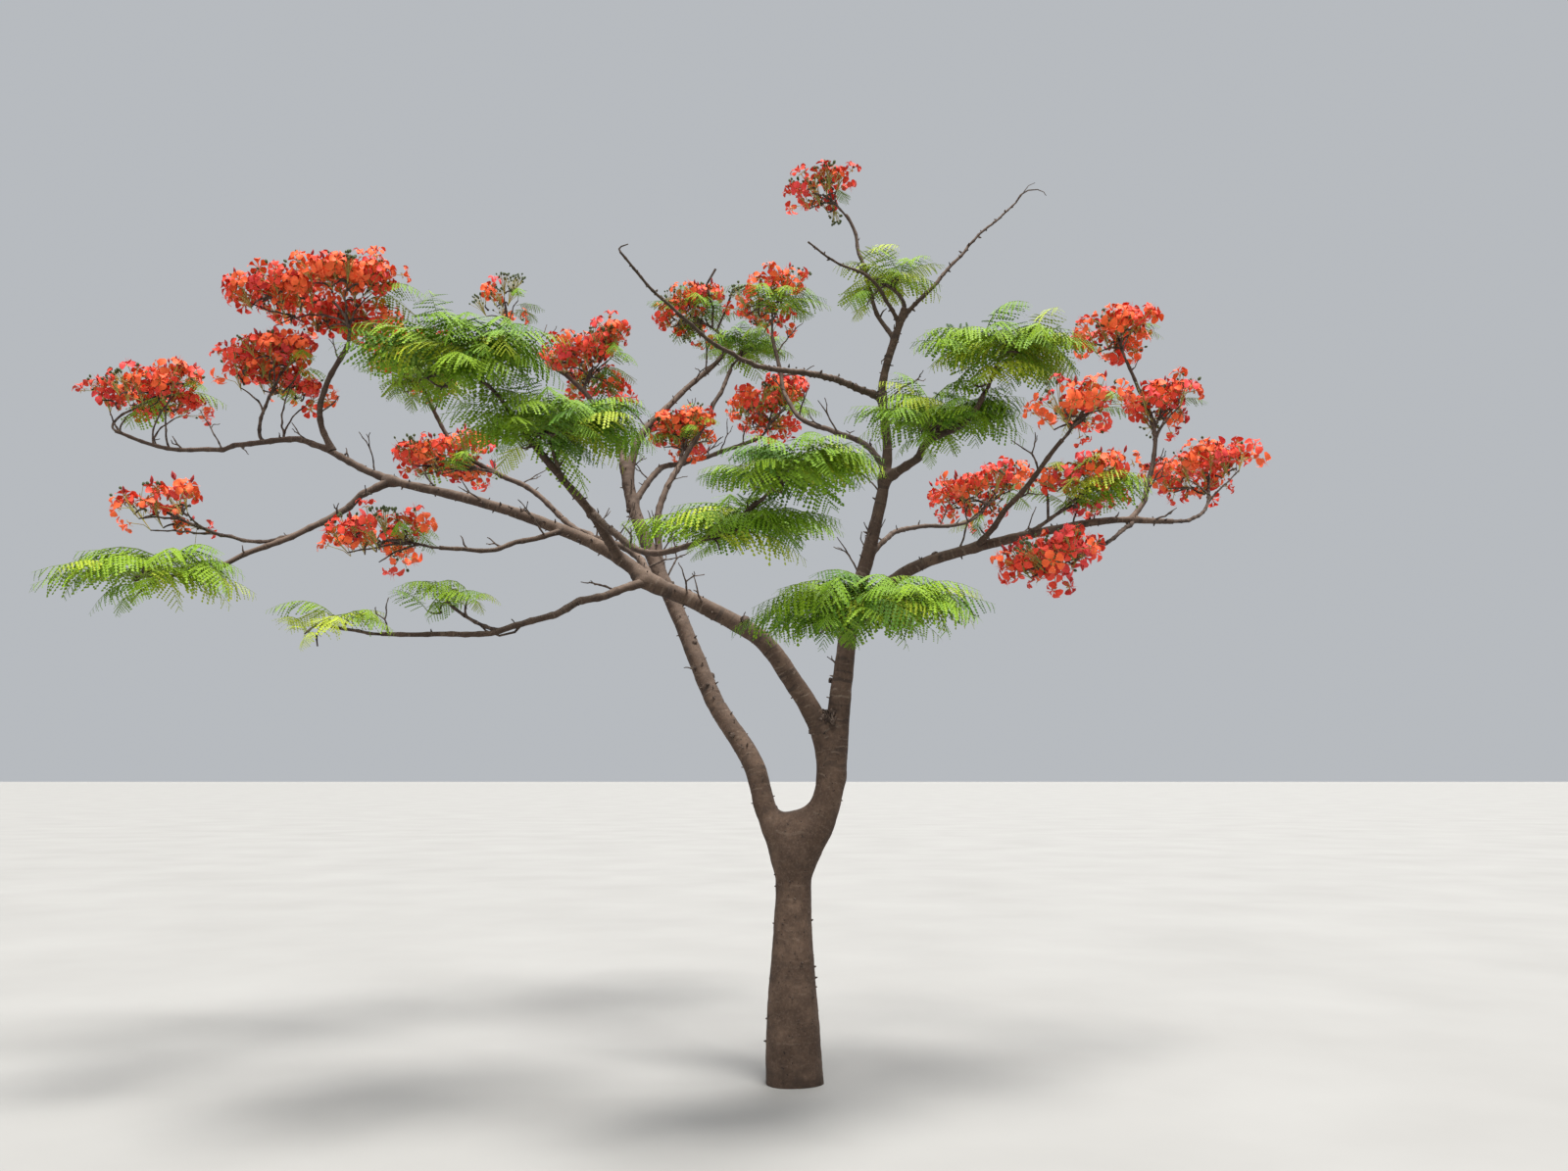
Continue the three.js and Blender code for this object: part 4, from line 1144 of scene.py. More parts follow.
def bark_finish(name, darkness):
    """Smooth grey-brown bark: pale patches, pits and ring marks, a darker foot, darker bark higher up that is
    partly its younger tone and partly painted shade, and painted light on the boughs' upward faces.
    """
    bark = Finish(name, 0.82, 0.25)
    noise, spread, times = bark.noise, bark.spread, bark.times
    height = bark.height_in(bark.place)
    upward = bark.height_in(bark.output("ShaderNodeNewGeometry", "Normal"))
    along = bark.output("ShaderNodeAttribute", "Fac", attribute_name="along")
    wander = sum_of(bark.tree, "MULTIPLY_ADD", noise(14.0), 0.05, along)
    off = bark.output("ShaderNodeVectorMath", "Value", {0: bark.place, 1: tuple(COLLAR_PLACE)},
                      operation="DISTANCE")

    patches = spread(noise(7.0, 5.0, 0.6), 0.42, 0.66)
    streaks = spread(noise(26.0, 4.0, 0.65), 0.4, 0.7)
    flecks = spread(noise(85.0, 4.0, 0.7), 0.5, 0.72)
    on_limbs = spread(height, 1.3, 1.9, 0.3, 1.0)
    dashes = times(spread(bark.ringed_noise(wander, 55.0, 2.0), 0.56, 0.68), spread(noise(19.0), 0.48, 0.6),
                   on_limbs)
    scars = times(spread(bark.ringed_noise(wander, 24.0, 1.0), 0.6, 0.66), spread(noise(11.0), 0.42, 0.52),
                  on_limbs)
    # Darker round the crook between the leader and the lowest left bough.
    darker_round_crook = times(spread(off, 0.2, 0.06), spread(noise(24.0, 4.0), 0.38, 0.6))
    pits = spread(noise(75.0, 2.0), 0.35, 0.28)
    # Darker towards the bottom of the trunk.
    darker_foot = times(spread(height, 0.22, 0.0), spread(noise(20.0, 4.0), 0.35, 0.6))
    # Darker higher up: partly the younger bark's own tone, partly painted shade of the crown over the leader
    # and limbs.
    younger_and_shaded = times(spread(height, 1.7, 3.3, *darkness), spread(noise(4.0, 4.0, 0.6), 0.3, 0.62, 0.45, 1.0))
    # Painted light: the bark is paler where it faces up on the boughs, as if lit from above.
    painted_top_light = times(spread(upward, 0.15, 0.95), spread(height, 1.7, 2.5, 0.0, 0.85),
                     spread(noise(18.0, 4.0, 0.6), 0.3, 0.6, 0.4, 1.0))

    bark.blend(patches, (0.128, 0.082, 0.056), (0.064, 0.039, 0.026))
    for mask, strength, colour in (
            (streaks, 0.55, (0.042, 0.027, 0.02)),
            (flecks, 0.5, (0.165, 0.115, 0.085)),
            (dashes, 0.45, (0.25, 0.195, 0.15)),
            (scars, 0.7, (0.03, 0.021, 0.016)),
            (darker_round_crook, 0.75, (0.03, 0.019, 0.014)),
            (pits, 1.0, (0.02, 0.014, 0.011)),
            (darker_foot, 0.85, (0.04, 0.027, 0.02)),
            # partly younger bark, partly painted shade
            (younger_and_shaded, 1.0, (0.036, 0.024, 0.019)),
            # painted light on the upward faces
            (painted_top_light, 1.0, (0.22, 0.16, 0.125))):
        bark.blend(times(mask, strength), colour)
    grain = sum_of(bark.tree, "MULTIPLY_ADD", dashes, 0.6, noise(120.0, 6.0, 0.7))
    return bark.finished(grain, 0.5, 0.004)


def twig_finish():
    """Dark brown knobby twigs, with pale specks."""
    twig = Finish("dark twig bark", 0.8, 0.25)
    twig.blend(twig.spread(twig.noise(30.0, 4.0), 0.4, 0.65), (0.11, 0.078, 0.06), (0.034, 0.022, 0.017))
    specks = twig.spread(twig.noise(140.0, 2.0), 0.62, 0.7)
    twig.blend(twig.times(specks, 0.6), (0.3, 0.24, 0.19))
    return twig.finished(twig.noise(160.0, 5.0, 0.65), 0.6, 0.003)


def leaf_finish(name, colour, deeper):
    """Thin green leaflets: one green for each spray, mottled finely with a deeper one."""
    leaf = Finish(name, 0.55, 0.22)
    leaf.blend(leaf.spread(leaf.noise(60.0), 0.35, 0.65), colour, deeper)
    return leaf.finished(leaf.noise(300.0, 2.0), 0.25, 0.001)


def petal_finish(name, colour, deeper):
    """Soft petals with a fine crinkle and a faint sheen."""
    petal = Finish(name, 0.55, 0.3, 0.05)
    petal.blend(petal.spread(petal.noise(90.0, 4.0), 0.32, 0.62), colour, deeper)
    return petal.finished(petal.noise(240.0), 0.35, 0.0015)


# The bark: trunk and thick boughs are one skin, drawn onto a smooth blend of all their round forms.

def trunk_field(points):
    """How far points lie outside the trunk, and which way is out. Its top is rounded off under the fork."""
    low = np.clip(points[:, 2], 0, FORK_HEIGHT)
    middle, width, depth = trunk_station(low)
    turn = np.arctan2(points[:, 1], points[:, 0] - middle)
    fading = np.maximum(1 - low / FOOT_LOBES_HEIGHT, 0) ** 2
    lobes = 1 + FOOT_LOBES * np.cos(FOOT_LOBE_COUNT * turn + FOOT_LOBES_TURN) * fading
    width, depth = width * lobes, depth * lobes
    rise = np.maximum(points[:, 2] - FORK_HEIGHT + CROWN_OF_TRUNK, 0) / CROWN_OF_TRUNK
    out = np.stack([(points[:, 0] - middle) / width, points[:, 1] / depth, rise], axis=1)
    size = np.maximum(np.linalg.norm(out, axis=1), 1e-6)
    slope = out / np.stack([width, depth, np.full_like(width, CROWN_OF_TRUNK)], axis=1) / size[:, None]
    steep = np.linalg.norm(slope, axis=1)
    return (size - 1) / steep, slope / steep[:, None], low


def line_field(line, along, points):
    """How far points lie outside a limb's line of round stations, which way is out, and where along it."""
    places, radii = line
    shares, out = feet_on(places, points)
    far = np.linalg.norm(out, axis=-1)
    gaps = far - radii[:-1] - shares * np.diff(radii)
    best = gaps.argmin(axis=1)[:, None]

    def pick(values):
        return np.take_along_axis(values, best, axis=1)[:, 0]

    slope = np.take_along_axis(out, best[..., None], axis=1)[:, 0] / np.maximum(pick(far), 1e-6)[:, None]
    return pick(gaps), slope, along[best[:, 0]] + pick(shares) * np.diff(along)[best[:, 0]]


def bark_field(points):
    """The smooth blend of the trunk and every line of the skin: a distance, its slope and a length."""
    gap, slope, along = trunk_field(points)
    for line, lengths, blend in skin_lines:
        low, high = line[0].min(axis=0) - FIELD_REACH, line[0].max(axis=0) + FIELD_REACH
        near = np.flatnonzero(((points > low) & (points < high)).all(axis=1))
        if len(near):
            own_gap, own_slope, own_along = line_field(line, lengths, points[near])
            share = np.clip(0.5 + 0.5 * (gap[near] - own_gap) / blend, 0, 1)
            along[near] = np.where(share > 0.5, own_along, along[near])
            slope[near] += share[:, None] * (own_slope - slope[near])
            gap[near] += share * (own_gap - gap[near]) - blend * share * (1 - share)
    return gap, slope, along


def nodes_along(whole, random, gaps, scale=1.0):
    """Lengths along a whole, each a drawn gap past the one before, until its end is passed."""
    nodes = [0.0]
    while nodes[-1] < whole:
        nodes.append(nodes[-1] + scale * random.between(*gaps))
    return nodes


def offsets_at(lengths, nodes, offsets):
    """The offsets at lengths between nodes that each have one."""
    return np.stack([np.interp(lengths, nodes, offsets[:, i]) for i in range(3)], axis=1)


def crook_of(limb):
    """Lengths along a limb at which it bends, and how far it lies aside at each."""
    thick = limb.name in THICK_LIMBS
    random = Draws(CROOK_SEED + list(LIMBS).index(limb.name))
    nodes = nodes_along(limb.way.length * limb.end, random, THICK_NODES if thick else THIN_NODES)
    shares = np.minimum(np.array(nodes) / limb.way.length, limb.end)
    aside = np.array([random.offset(1) for _ in nodes])
    aside *= (THICK_CROOK if thick else THIN_CROOK) * np.array([[limb.radius_at(share)] for share in shares])
    aside[0] = 0
    aside[shares > limb.end - CROOK_UNBENT_END / limb.way.length] = 0
    return nodes, aside


def stations_of(limb, spacing, last=1.0):
    """Points, radii and lengths along a limb up to a last share, each at most a spacing apart."""
    end = min(last, limb.end)
    count = max(3, math.ceil(limb.way.length * end / spacing))
    shares = end * np.arange(count + 1) / count
    lengths = shares * limb.way.length
    points = np.array([limb.way.at(share) for share in shares])
    points += offsets_at(lengths, *crook_of(limb))
    return points, np.array([limb.radius_at(share) for share in shares]), lengths


def closed_rings(rings, sides):
    """The faces of a closed skin through rings of points, with a flat face at each end."""
    faces = []
    for ring in range(rings - 1):
        for i in range(sides):
            a, b = ring * sides + i, ring * sides + (i + 1) % sides
            faces.append((a, b, b + sides, a + sides))
    return [*faces, tuple(reversed(range(sides))), tuple(range((rings - 1) * sides, rings * sides))]


def rough_trunk():
    """The trunk's column with its rounded top and a foot below the ground, as a first skin."""
    shoulder = FORK_HEIGHT - CROWN_OF_TRUNK
    stations = [(height, trunk_station(height), 1)
                for height in np.linspace(-FOOT_BELOW_GROUND, shoulder, TRUNK_RINGS)]
    stations += [(shoulder + CROWN_OF_TRUNK * math.sin(turn), trunk_station(FORK_HEIGHT), math.cos(turn))
                 for turn in np.linspace(*CROWN_TURNS)]
    turns = np.arange(TRUNK_SIDES) * 2 * np.pi / TRUNK_SIDES
    points = []
    for height, (middle, width, depth), narrowing in stations:
        points.extend(np.stack([middle + width * narrowing * np.cos(turns), depth * narrowing * np.sin(turns),
                                np.full(TRUNK_SIDES, height)], axis=1))
    return plain_mesh("trunk form", points, (), closed_rings(len(stations), TRUNK_SIDES))


def remeshed(name, meshes, voxel):
    """One even skin round several closed meshes that overlap."""
    form = bmesh.new()
    for mesh in meshes:
        form.from_mesh(mesh)
    piece = placed(name, mesh_of(name, form))
    remesh = piece.modifiers.new("skin", "REMESH")
    remesh.mode, remesh.voxel_size = "VOXEL", voxel
    result = evaluated(piece)
    bpy.data.objects.remove(piece)
    return result


def draw_onto_blend(mesh):
    """Evens out the mesh's points, draws them onto the bark's blend, and keeps the length along the wood."""
    points = np.empty(len(mesh.vertices) * 3)
    mesh.vertices.foreach_get("co", points)
    points = points.reshape(-1, 3)
    edges = np.empty(len(mesh.edges) * 2, np.int64)
    mesh.edges.foreach_get("vertices", edges)
    edges = edges.reshape(-1, 2)
    counts = np.bincount(edges.ravel(), minlength=len(points))
    for _ in range(SKIN_ROUNDS):
        sums = np.stack([np.bincount(edges[:, 0], points[edges[:, 1], i], len(points))
                         + np.bincount(edges[:, 1], points[edges[:, 0], i], len(points))
                         for i in range(3)], axis=1)
        points = (points + sums / counts[:, None]) / 2
        for _ in range(SKIN_DRAWS_A_ROUND):
            gap, slope, along = bark_field(points)
            steep = np.maximum((slope ** 2).sum(axis=1), SKIN_LEAST_STEEPNESS)
            pull = np.clip(gap, -SKIN_LARGEST_DRAW, SKIN_LARGEST_DRAW) / steep
            points = points - pull[:, None] * slope
    mesh.vertices.foreach_set("co", points.ravel())
    layer = mesh.attributes.new("along", "FLOAT", "POINT")
    layer.data.foreach_set("value", along)
    mesh.update()


def cut_at_ground(piece):
    """A flat closed cut through the foot at ground level."""
    form = bmesh.new()
    form.from_mesh(piece.data)
    parts = form.verts[:] + form.edges[:] + form.faces[:]
    bmesh.ops.bisect_plane(form, geom=parts, plane_co=(0, 0, 0), plane_no=(0, 0, -1), clear_outer=True)
    rim = [edge for edge in form.edges if edge.is_boundary]
    bmesh.ops.holes_fill(form, edges=rim)
    bmesh.ops.recalc_face_normals(form, faces=form.faces)
    form.to_mesh(piece.data)
    form.free()


def make_bark():
    """The trunk and thick boughs: a rough skin round their forms, drawn onto their blend, with its relief."""
    tubes = Growths()
    for name in THICK_LIMBS:
        points, radii, _ = stations_of(limbs[name], SKIN_SPACING)
        tubes.add(points, radii)
    first_skin = tubes.made("limb forms", sides=24, finish=None)
    skin = remeshed("bark", [first_skin.data, rough_trunk()], SKIN_VOXEL)
    bpy.data.objects.remove(first_skin)
    draw_onto_blend(skin)
    piece = made_by(RELIEF, "bark_trunk_and_boughs", skin, swelling=0.012, pits=0.004, finish=BARK)
    cut_at_ground(piece)
    return piece


# The thin wood: tapering limbs with collars and nodes, stems, twigs and dead sticks.

def square_to(heading):
    """Two directions square to a limb: to its side, and over it."""
    aside = unit(np.cross(heading, UP + 0.01))
    return aside, np.cross(aside, heading)


def knobbed(points, radii, random, spacing, swell, wander):
    """The radii swollen at nodes about a spacing apart, and the way bent a little at each."""
    lengths = lengths_along(points)
    nodes = nodes_along(lengths[-1], random, KNOB_GAPS, spacing)
    near = np.abs(lengths[:, None] - np.array(nodes)).min(axis=1)
    radii = radii * (1 + swell * np.exp(-(near / (KNOB_WIDTH * spacing)) ** 2))
    bends = np.array([random.offset(1) for _ in nodes]) * wander
    bends[0] = 0
    ease = np.minimum(1, (lengths[-1] - lengths) / max(lengths[-1] * UNBENT_END, 1e-6))[:, None]
    return points + offsets_at(lengths, nodes, bends) * ease, radii


def add_limb(growths, limb, random):
    """A thin limb, flared at its root and knobbed along its way."""
    points, radii, lengths = stations_of(limb, LIMB_SPACING)
    flare = 1 + ROOT_FLARE * np.exp(-((lengths - lengths[0]) / (ROOT_FLARE_LENGTH * radii[0])) ** 2)
    knobs = DEAD_KNOBS if limb.name in BARE_ARMS else LIMB_KNOBS
    growths.add(*knobbed(points, radii * flare, random, *knobs))


def add_stem(growths, mass, random):
    """A mass's knobbed stem."""
    count = math.ceil(mass.stem.way.length / STEM_SPACING)
    points, radii = line_along(mass.stem.way, 1, count, mass.stem.radius_at)
    growths.add(*knobbed(points, STEM_SLIMMER * radii, random, *STEM_KNOBS))


def add_twig(growths, start, end, root, tip, random, leaving=None):
    """A knobby twig that leaves its stem at a slant, bends up to its end and zigzags a little on the way."""
    span = np.linalg.norm(end - start)
    count = max(4, math.ceil(span / TWIG_SPACING))
    shares = np.arange(count + 1)[:, None] / count
    middle = (start + end) / 2
    if leaving is not None:
        way = unit(leaving + TWIG_AHEAD * (end - start) / span - UP * TWIG_SAG)
        middle = start + way * span * TWIG_HALF_WAY
    radii = root + (tip - root) * shares[:, 0]
    points, radii = knobbed(bend(start, middle, end)(shares), radii, random, *TWIG_KNOBS)
    points[-1] = end
    growths.add(points, radii)


def add_stick(growths, start, way, reach, random, thick):
    """A dead stick that kinks upwards, and bears a shorter one at its kink where it is long."""
    elbow = start + way * reach * random.between(*STICK_KINK)
    onward = unit(way + UP * STICK_RISE + random.offset(STICK_WANDER))
    add_twig(growths, start, elbow, thick, STICK_TAPER * thick, random)
    add_twig(growths, elbow, elbow + onward * reach * 0.5, STICK_TAPER * thick, STICK_TIP, random)
    if reach > FORKED_REACH:
        other = unit(2 * way - onward + random.offset(FORK_WANDER))
        fork_reach = reach * random.between(*STICK_FORK)
        add_stick(growths, elbow, other, fork_reach, random, FORK_THICKNESS * thick)


def add_sticks(growths, limb, random):
    """Short dead sticks and stubs that a flame tree keeps along its limbs, mostly pointing up."""
    length = limb.way.length * limb.end
    place = random.between(*FIRST_STICK)
    while place < length - BARE_LIMB_END:
        start, heading, radius = limb.station(place / limb.way.length)
        aside, over = square_to(heading)
        turn = random.between(-STICK_TURN, STICK_TURN)
        turn *= STICK_WIDE_TURN if random() < STICK_WIDE_SHARE else 1
        way = unit(over * math.cos(turn) + aside * math.sin(turn) + heading * random.between(*STICK_LEAN))
        long = radius < LONG_STICKS_ON and random() < STICK_LONG_SHARE
        reach = radius + random.between(*(STICK_LONG if long else STICK_SHORT))
        add_stick(growths, start, way, reach, random, random.between(*STICK_THICK))
        place += random.between(*STICK_GAPS)


def add_crooked_sticks(growths):
    """The few dead sticks of a shape of their own: a curled dry end and some blunt hooks."""
    stems = {mass.name: mass.stem for mass in masses}
    for name, share, root, tip, bends in CROOKED_STICKS:
        start = limbs[name].way.at(share * limbs[name].end) if name in limbs else stems[name].way.at(share)
        growths.add(curve_from(start, bends), np.linspace(root, tip, len(bends) + 1))


def add_limb_stubs(growths, limb, random):
    """Short blunt stubs all along a limb, left where leaves and sticks fell."""
    for i in range(int(limb.way.length * limb.end / STUB_SPACING)):
        start, heading, radius = limb.station((i + random()) * STUB_SPACING / limb.way.length)
        aside, over = square_to(heading)
        turn = i * GOLDEN_ANGLE
        way = unit(aside * math.cos(turn) + over * math.sin(turn) + STUB_SLANT * heading * random())
        out = radius + random.between(*STUB_OUT)
        ends = [start + way * radius * STUB_ROOT, start + way * out]
        growths.add(ends, (random.between(*STUB_RADII), STUB_TIP))


def add_trunk_stubs(growths, random):
    """Short blunt stubs that stand out from the trunk's bark."""
    for i in range(TRUNK_STUBS):
        height, turn = random.between(LOWEST_TRUNK_STUB, FORK_HEIGHT), i * GOLDEN_ANGLE
        middle, width, depth = trunk_station(height)
        out = np.array((width * math.cos(turn), depth * math.sin(turn), random.between(0, TRUNK_STUB_RISE)))
        surface = np.array((middle, 0, height)) + out
        start = surface - out * (1 - TRUNK_STUB_ROOT)
        end = surface + unit(out) * random.between(*TRUNK_STUB_OUT)
        growths.add([start, end], (random.between(*TRUNK_STUB_RADII), TRUNK_STUB_TIP))


def ball_shape(name, subdivisions, moved):
    """A ball of unit width whose points are moved by a rule."""
    form = bmesh.new()
    bmesh.ops.create_icosphere(form, subdivisions=subdivisions, radius=0.5)
    for vert in form.verts:
        vert.co = moved(vert.co)
    return mesh_of(name, form)


def knot_shape(random):
    """A lumpy knot of unit width, with a dent in its top where a stick broke off."""
    def moved(place):
        lump = random.between(0.82, 1.14)
        dent = 0.35 * max(place.z - 0.3, 0) / 0.2
        return place.x * lump, place.y * lump, place.z * lump * (1 - dent)

    return ball_shape("knot", 2, moved)


def add_knot(knots, limb, share, turn, size, random):
    """A knot half sunk in a limb's bark, facing out at a turn round the limb from its top."""
    start, heading, radius = limb.station(share)
    aside, over = square_to(heading)
    out = over * math.cos(turn) + aside * math.sin(turn)
    knots.add(start + out * radius * KNOT_OUT, heading, out, size, random.pick(3))


def make_knots():
    """Large knots where boughs were cut or broke off, and small ones dealt out along the limbs."""
    knots, random = Scatter(), Draws(KNOT_SEED)
    for name, share, turn, size in KNOTS:
        add_knot(knots, limbs[name], share, turn, size, random)
    for limb in limbs.values():
        place = random.between(*FIRST_KNOT)
        while place < limb.way.length * limb.end:
            share = place / limb.way.length
            size = limb.radius_at(share) * random.between(*KNOT_SIZES)
            add_knot(knots, limb, share, random.between(-KNOT_TURN, KNOT_TURN), size, random)
            place += random.between(*KNOT_GAPS)
    return knots.made("knots", PETALS, [knot_shape(random) for _ in "abc"], TWIG_BARK)


def add_collar(growths, random):
    """The ragged collar of dead bark in the crook between the leader and the lowest left bough."""
    for _ in range(COLLAR_SHREDS):
        start = COLLAR_PLACE + random.offset(1) * COLLAR_REACH
        way = unit(np.array([random.between(*limits) for limits in SHRED_WAYS]))
        end = start + way * random.between(*SHRED_LENGTHS)
        add_twig(growths, start - way * SHRED_ROOT, end, *SHRED, random)


# Leaves: twice feathered, with opposite ribs of paired leaflets along an arched stalk.

def rib_shape(droop, random):
    """A leaf's rib of unit length along x, drooping at its end, with pointed leaflets in pairs."""
    points, faces = [], []

    def rib_at(share):
        return np.array((share, 0, -droop * share * share))

    for i in range(LEAFLET_PAIRS):
        near, far = i / LEAFLET_PAIRS, (i + 1) / LEAFLET_PAIRS
        fullness = 0.66 + 0.34 * math.sin(math.pi * min(near + 0.2, 1))
        wide = LEAFLET_LENGTH * fullness * random.between(0.9, 1.1)
        for side in (-1, 1):
            first = len(points)
            tip = rib_at((near + far) / 2) + np.array((LEAFLET_SWEEP, side, -LEAFLET_FOLD)) * wide
            points.extend((rib_at(near), rib_at(far), tip))
            faces.append((first, first + 1, first + 2))
    return plain_mesh("rib", points, (), faces)


def add_leaf(leaf, stalks, ribs, random):
    """A leaf's arched stalk, and slender ribs in opposite pairs along it that shorten towards its tip."""
    roll = random.between(-LEAF_ROLL, LEAF_ROLL)
    up = leaf.face * math.cos(roll) + leaf.side * math.sin(roll)
    aside = np.cross(up, leaf.heading)

    def stalk_at(share):
        share = np.asarray(share)[..., None]
        along = leaf.heading * share * (1 - STALK_SHORTENING * leaf.sag * share)
        rise, fall = STALK_ARCH
        return leaf.root + leaf.length * (along + up * leaf.sag * (rise * share - fall * share * share))

    ways = np.linspace(0, 1, 7)
    stalks.add(stalk_at(ways), leaf.length * STALK_RADIUS * (1.15 - ways))
    shares = FIRST_RIB + (LAST_RIB - FIRST_RIB) * (np.arange(LEAF_RIBS) + 0.5) / LEAF_RIBS
    headings = stalk_at(shares + 0.01) - stalk_at(shares - 0.01)
    for share, root, ahead in zip(shares, stalk_at(shares), headings):
        ahead = unit(ahead)
        over = np.cross(ahead, aside)
        narrowing = 1 - 0.6 * max(share - 0.7, 0) / 0.3
        length = leaf.length * RIB_LENGTH * (0.7 + 0.3 * math.sin(math.pi * share)) * narrowing
        for side in (-1, 1):
            first_turn, swept, strayed = RIB_TURNS
            turn = math.radians(first_turn - swept * share + random.between(-strayed, strayed))
            lean = math.radians(random.between(*RIB_LEAN))
            level = ahead * math.cos(turn) + aside * side * math.sin(turn)
            out = level * math.cos(lean) + over * math.sin(lean)
            above = over * math.cos(lean) - level * math.sin(lean)
            kind = random.pick(len(RIB_DROOPS))
            ribs.add(root, out, above, length * random.between(0.9, 1.06), kind)


def leave_from(mass, twig, earlier):
    """Where a twig leaves the wood: the stem, or a nearer fitting place on the limb or on an earlier twig."""
    best = twig.start, twig.heading, np.linalg.norm(twig.end - twig.start) * STEM_EASE
    limb = limbs[mass.limb]
    joined = (1 if mass.at is None else mass.at) * limb.end
    ease = RISING_EASE if mass.name in RISING_MASSES else 1
    for back in LIMB_BRANCHES:
        share = joined - back / limb.way.length
        start = limb.way.at(max(share, 0))
        out = twig.end - start
        far = np.linalg.norm(out)
        if share > 0.1 and far > BRANCH_SHORTEST and far * ease < best[2] and out[2] > RISING_LEAST * far:
            best = start, unit(limb.way.heading(share) * 0.7 + UP * 0.5), far * ease
    for other in earlier:
        way = unit(other.end - other.start)
        for share in BRANCH_SHARES:
            start = other.at(share)
            out = twig.end - start
            far = np.linalg.norm(out)
            if BRANCH_SHORTEST < far < best[2] and out @ way > ONWARD_LEAST * far:
                best = start, way, far
    return best[:2]


def make_leaves():
    """Every leaf that the masses have grown: one piece of ribs for each green, and one of all the stalks."""
    greens = {name: Scatter() for name in GREENS}
    stalks = Growths()
    for mass in masses:
        random = Draws(mass.seed + LEAF_SEED)
        for leaf in mass.grown:
            # The draw leans to the yellow greens on some masses: partly fresher leaves, partly painted
            # sunlight.
            draw = random() + FRESH_AND_SUNLIT.get(mass.name, 0)
            name = next(name for name, (least, _, _) in GREENS.items() if draw >= least)
            add_leaf(leaf, stalks, greens[name], random)
    meshes = [rib_shape(droop, Draws(RIB_SEED + i)) for i, droop in enumerate(RIB_DROOPS)]
    stalk_finish = leaf_finish("green stalk", (0.17, 0.24, 0.03), (0.12, 0.17, 0.02))
    pieces = [stalks.made("leaf_stalks", sides=3, finish=stalk_finish)]
    for name, scatter in greens.items():
        finish = leaf_finish(name.replace("_", " "), *GREENS[name][1:])
        pieces.append(scatter.made(name, LEAVES, meshes, finish))
    return pieces


# Blossom: spoon-shaped petals on narrow claws, long stamens, split calyces and round buds on stalks.

def add_petal(points, faces, turn, length, width, rise, curl, twist):
    """One petal out from the flower's middle: a claw that opens into a rounded, crinkled, recurved blade."""
    first = len(points)
    for share, wide in PETAL_PROFILE:
        out = length * (share - 0.12 * curl * share ** 3)
        lift = length * (rise * math.sin(share * 2.4) - curl * share ** 2.4)
        for side, crinkle in ((-1, 0.16), (0, 0), (1, 0.16)):
            across = side * wide * width / 2
            up = lift + crinkle * width * wide + across * twist * share
            points.append((out * math.cos(turn) - across * math.sin(turn),
                           out * math.sin(turn) + across * math.cos(turn), up))
    for ring in range(len(PETAL_PROFILE) - 1):
        for side in (0, 1):
            a = first + ring * 3 + side
            faces.append((a, a + 3, a + 4, a + 1))


def spoke(turn):
    """The directions out from a flower's middle and across, at a turn."""
    return np.array((math.cos(turn), math.sin(turn), 0)), np.array((-math.sin(turn), math.cos(turn), 0))


def flower_shape(rise, curl, random):
    """Five petals of a flower of unit width across, its face along z, and five stamens."""
    points, faces = [], []
    for i in range(5):
        turn = i * 2 * math.pi / 5 + random.between(-0.14, 0.14)
        add_petal(points, faces, turn, random.between(0.46, 0.6), random.between(0.31, 0.43),
                  rise + random.between(-0.12, 0.16), curl + random.between(-0.1, 0.16),
                  random.between(-0.6, 0.6))
    for i in range(5):
        out, across = spoke(i * 2 * math.pi / 5 + 0.5 + random.between(-0.3, 0.3))
        out, across = out * random.between(0.14, 0.26), across * 0.012
        first = len(points)
        points.extend((across, -across, out + UP * random.between(0.34, 0.46)))
        faces.append((first, first + 1, first + 2))
    return plain_mesh("flower", points, (), faces)


def calyx_shape(random):
    """Five pointed sepals under a flower, bent back from its stalk."""
    points, faces = [], []
    for i in range(5):
        out, across = spoke((i + 0.5) * 2 * math.pi / 5)
        across = across * 0.055
        first = len(points)
        low, bent = out * 0.01 - UP * 0.14, out * 0.15 - UP * 0.06
        tip = out * random.between(0.24, 0.3) - UP * random.between(0.1, 0.2)
        points.extend((low, bent - across, tip, bent + across))
        faces.append((first, first + 1, first + 2, first + 3))
    return plain_mesh("calyx", points, (), faces)


def bead_shape(tall):
    """A round bud with a short point, of unit width, standing on its stalk."""
    def moved(place):
        lift = place.z + 0.5
        slim = 1 - 0.55 * max(lift - 0.55, 0) * (tall - 0.8)
        return place.x * slim, place.y * slim, lift * tall

    return ball_shape("bead", 1, moved)


def furled_shape(random):
    """A furled flower: crumpled petals wrapped into a pointed spindle."""
    points = []
    for height, radius in FURLED_PROFILE:
        for i in range(6):
            turn = i * math.pi / 3 + height * 1.5
            wide = radius * (1 + 0.35 * (i % 2) + random.between(-0.1, 0.1))
            points.append((wide * math.cos(turn), wide * math.sin(turn), height))
    return plain_mesh("furled flower", points, (), closed_rings(len(FURLED_PROFILE), 6))


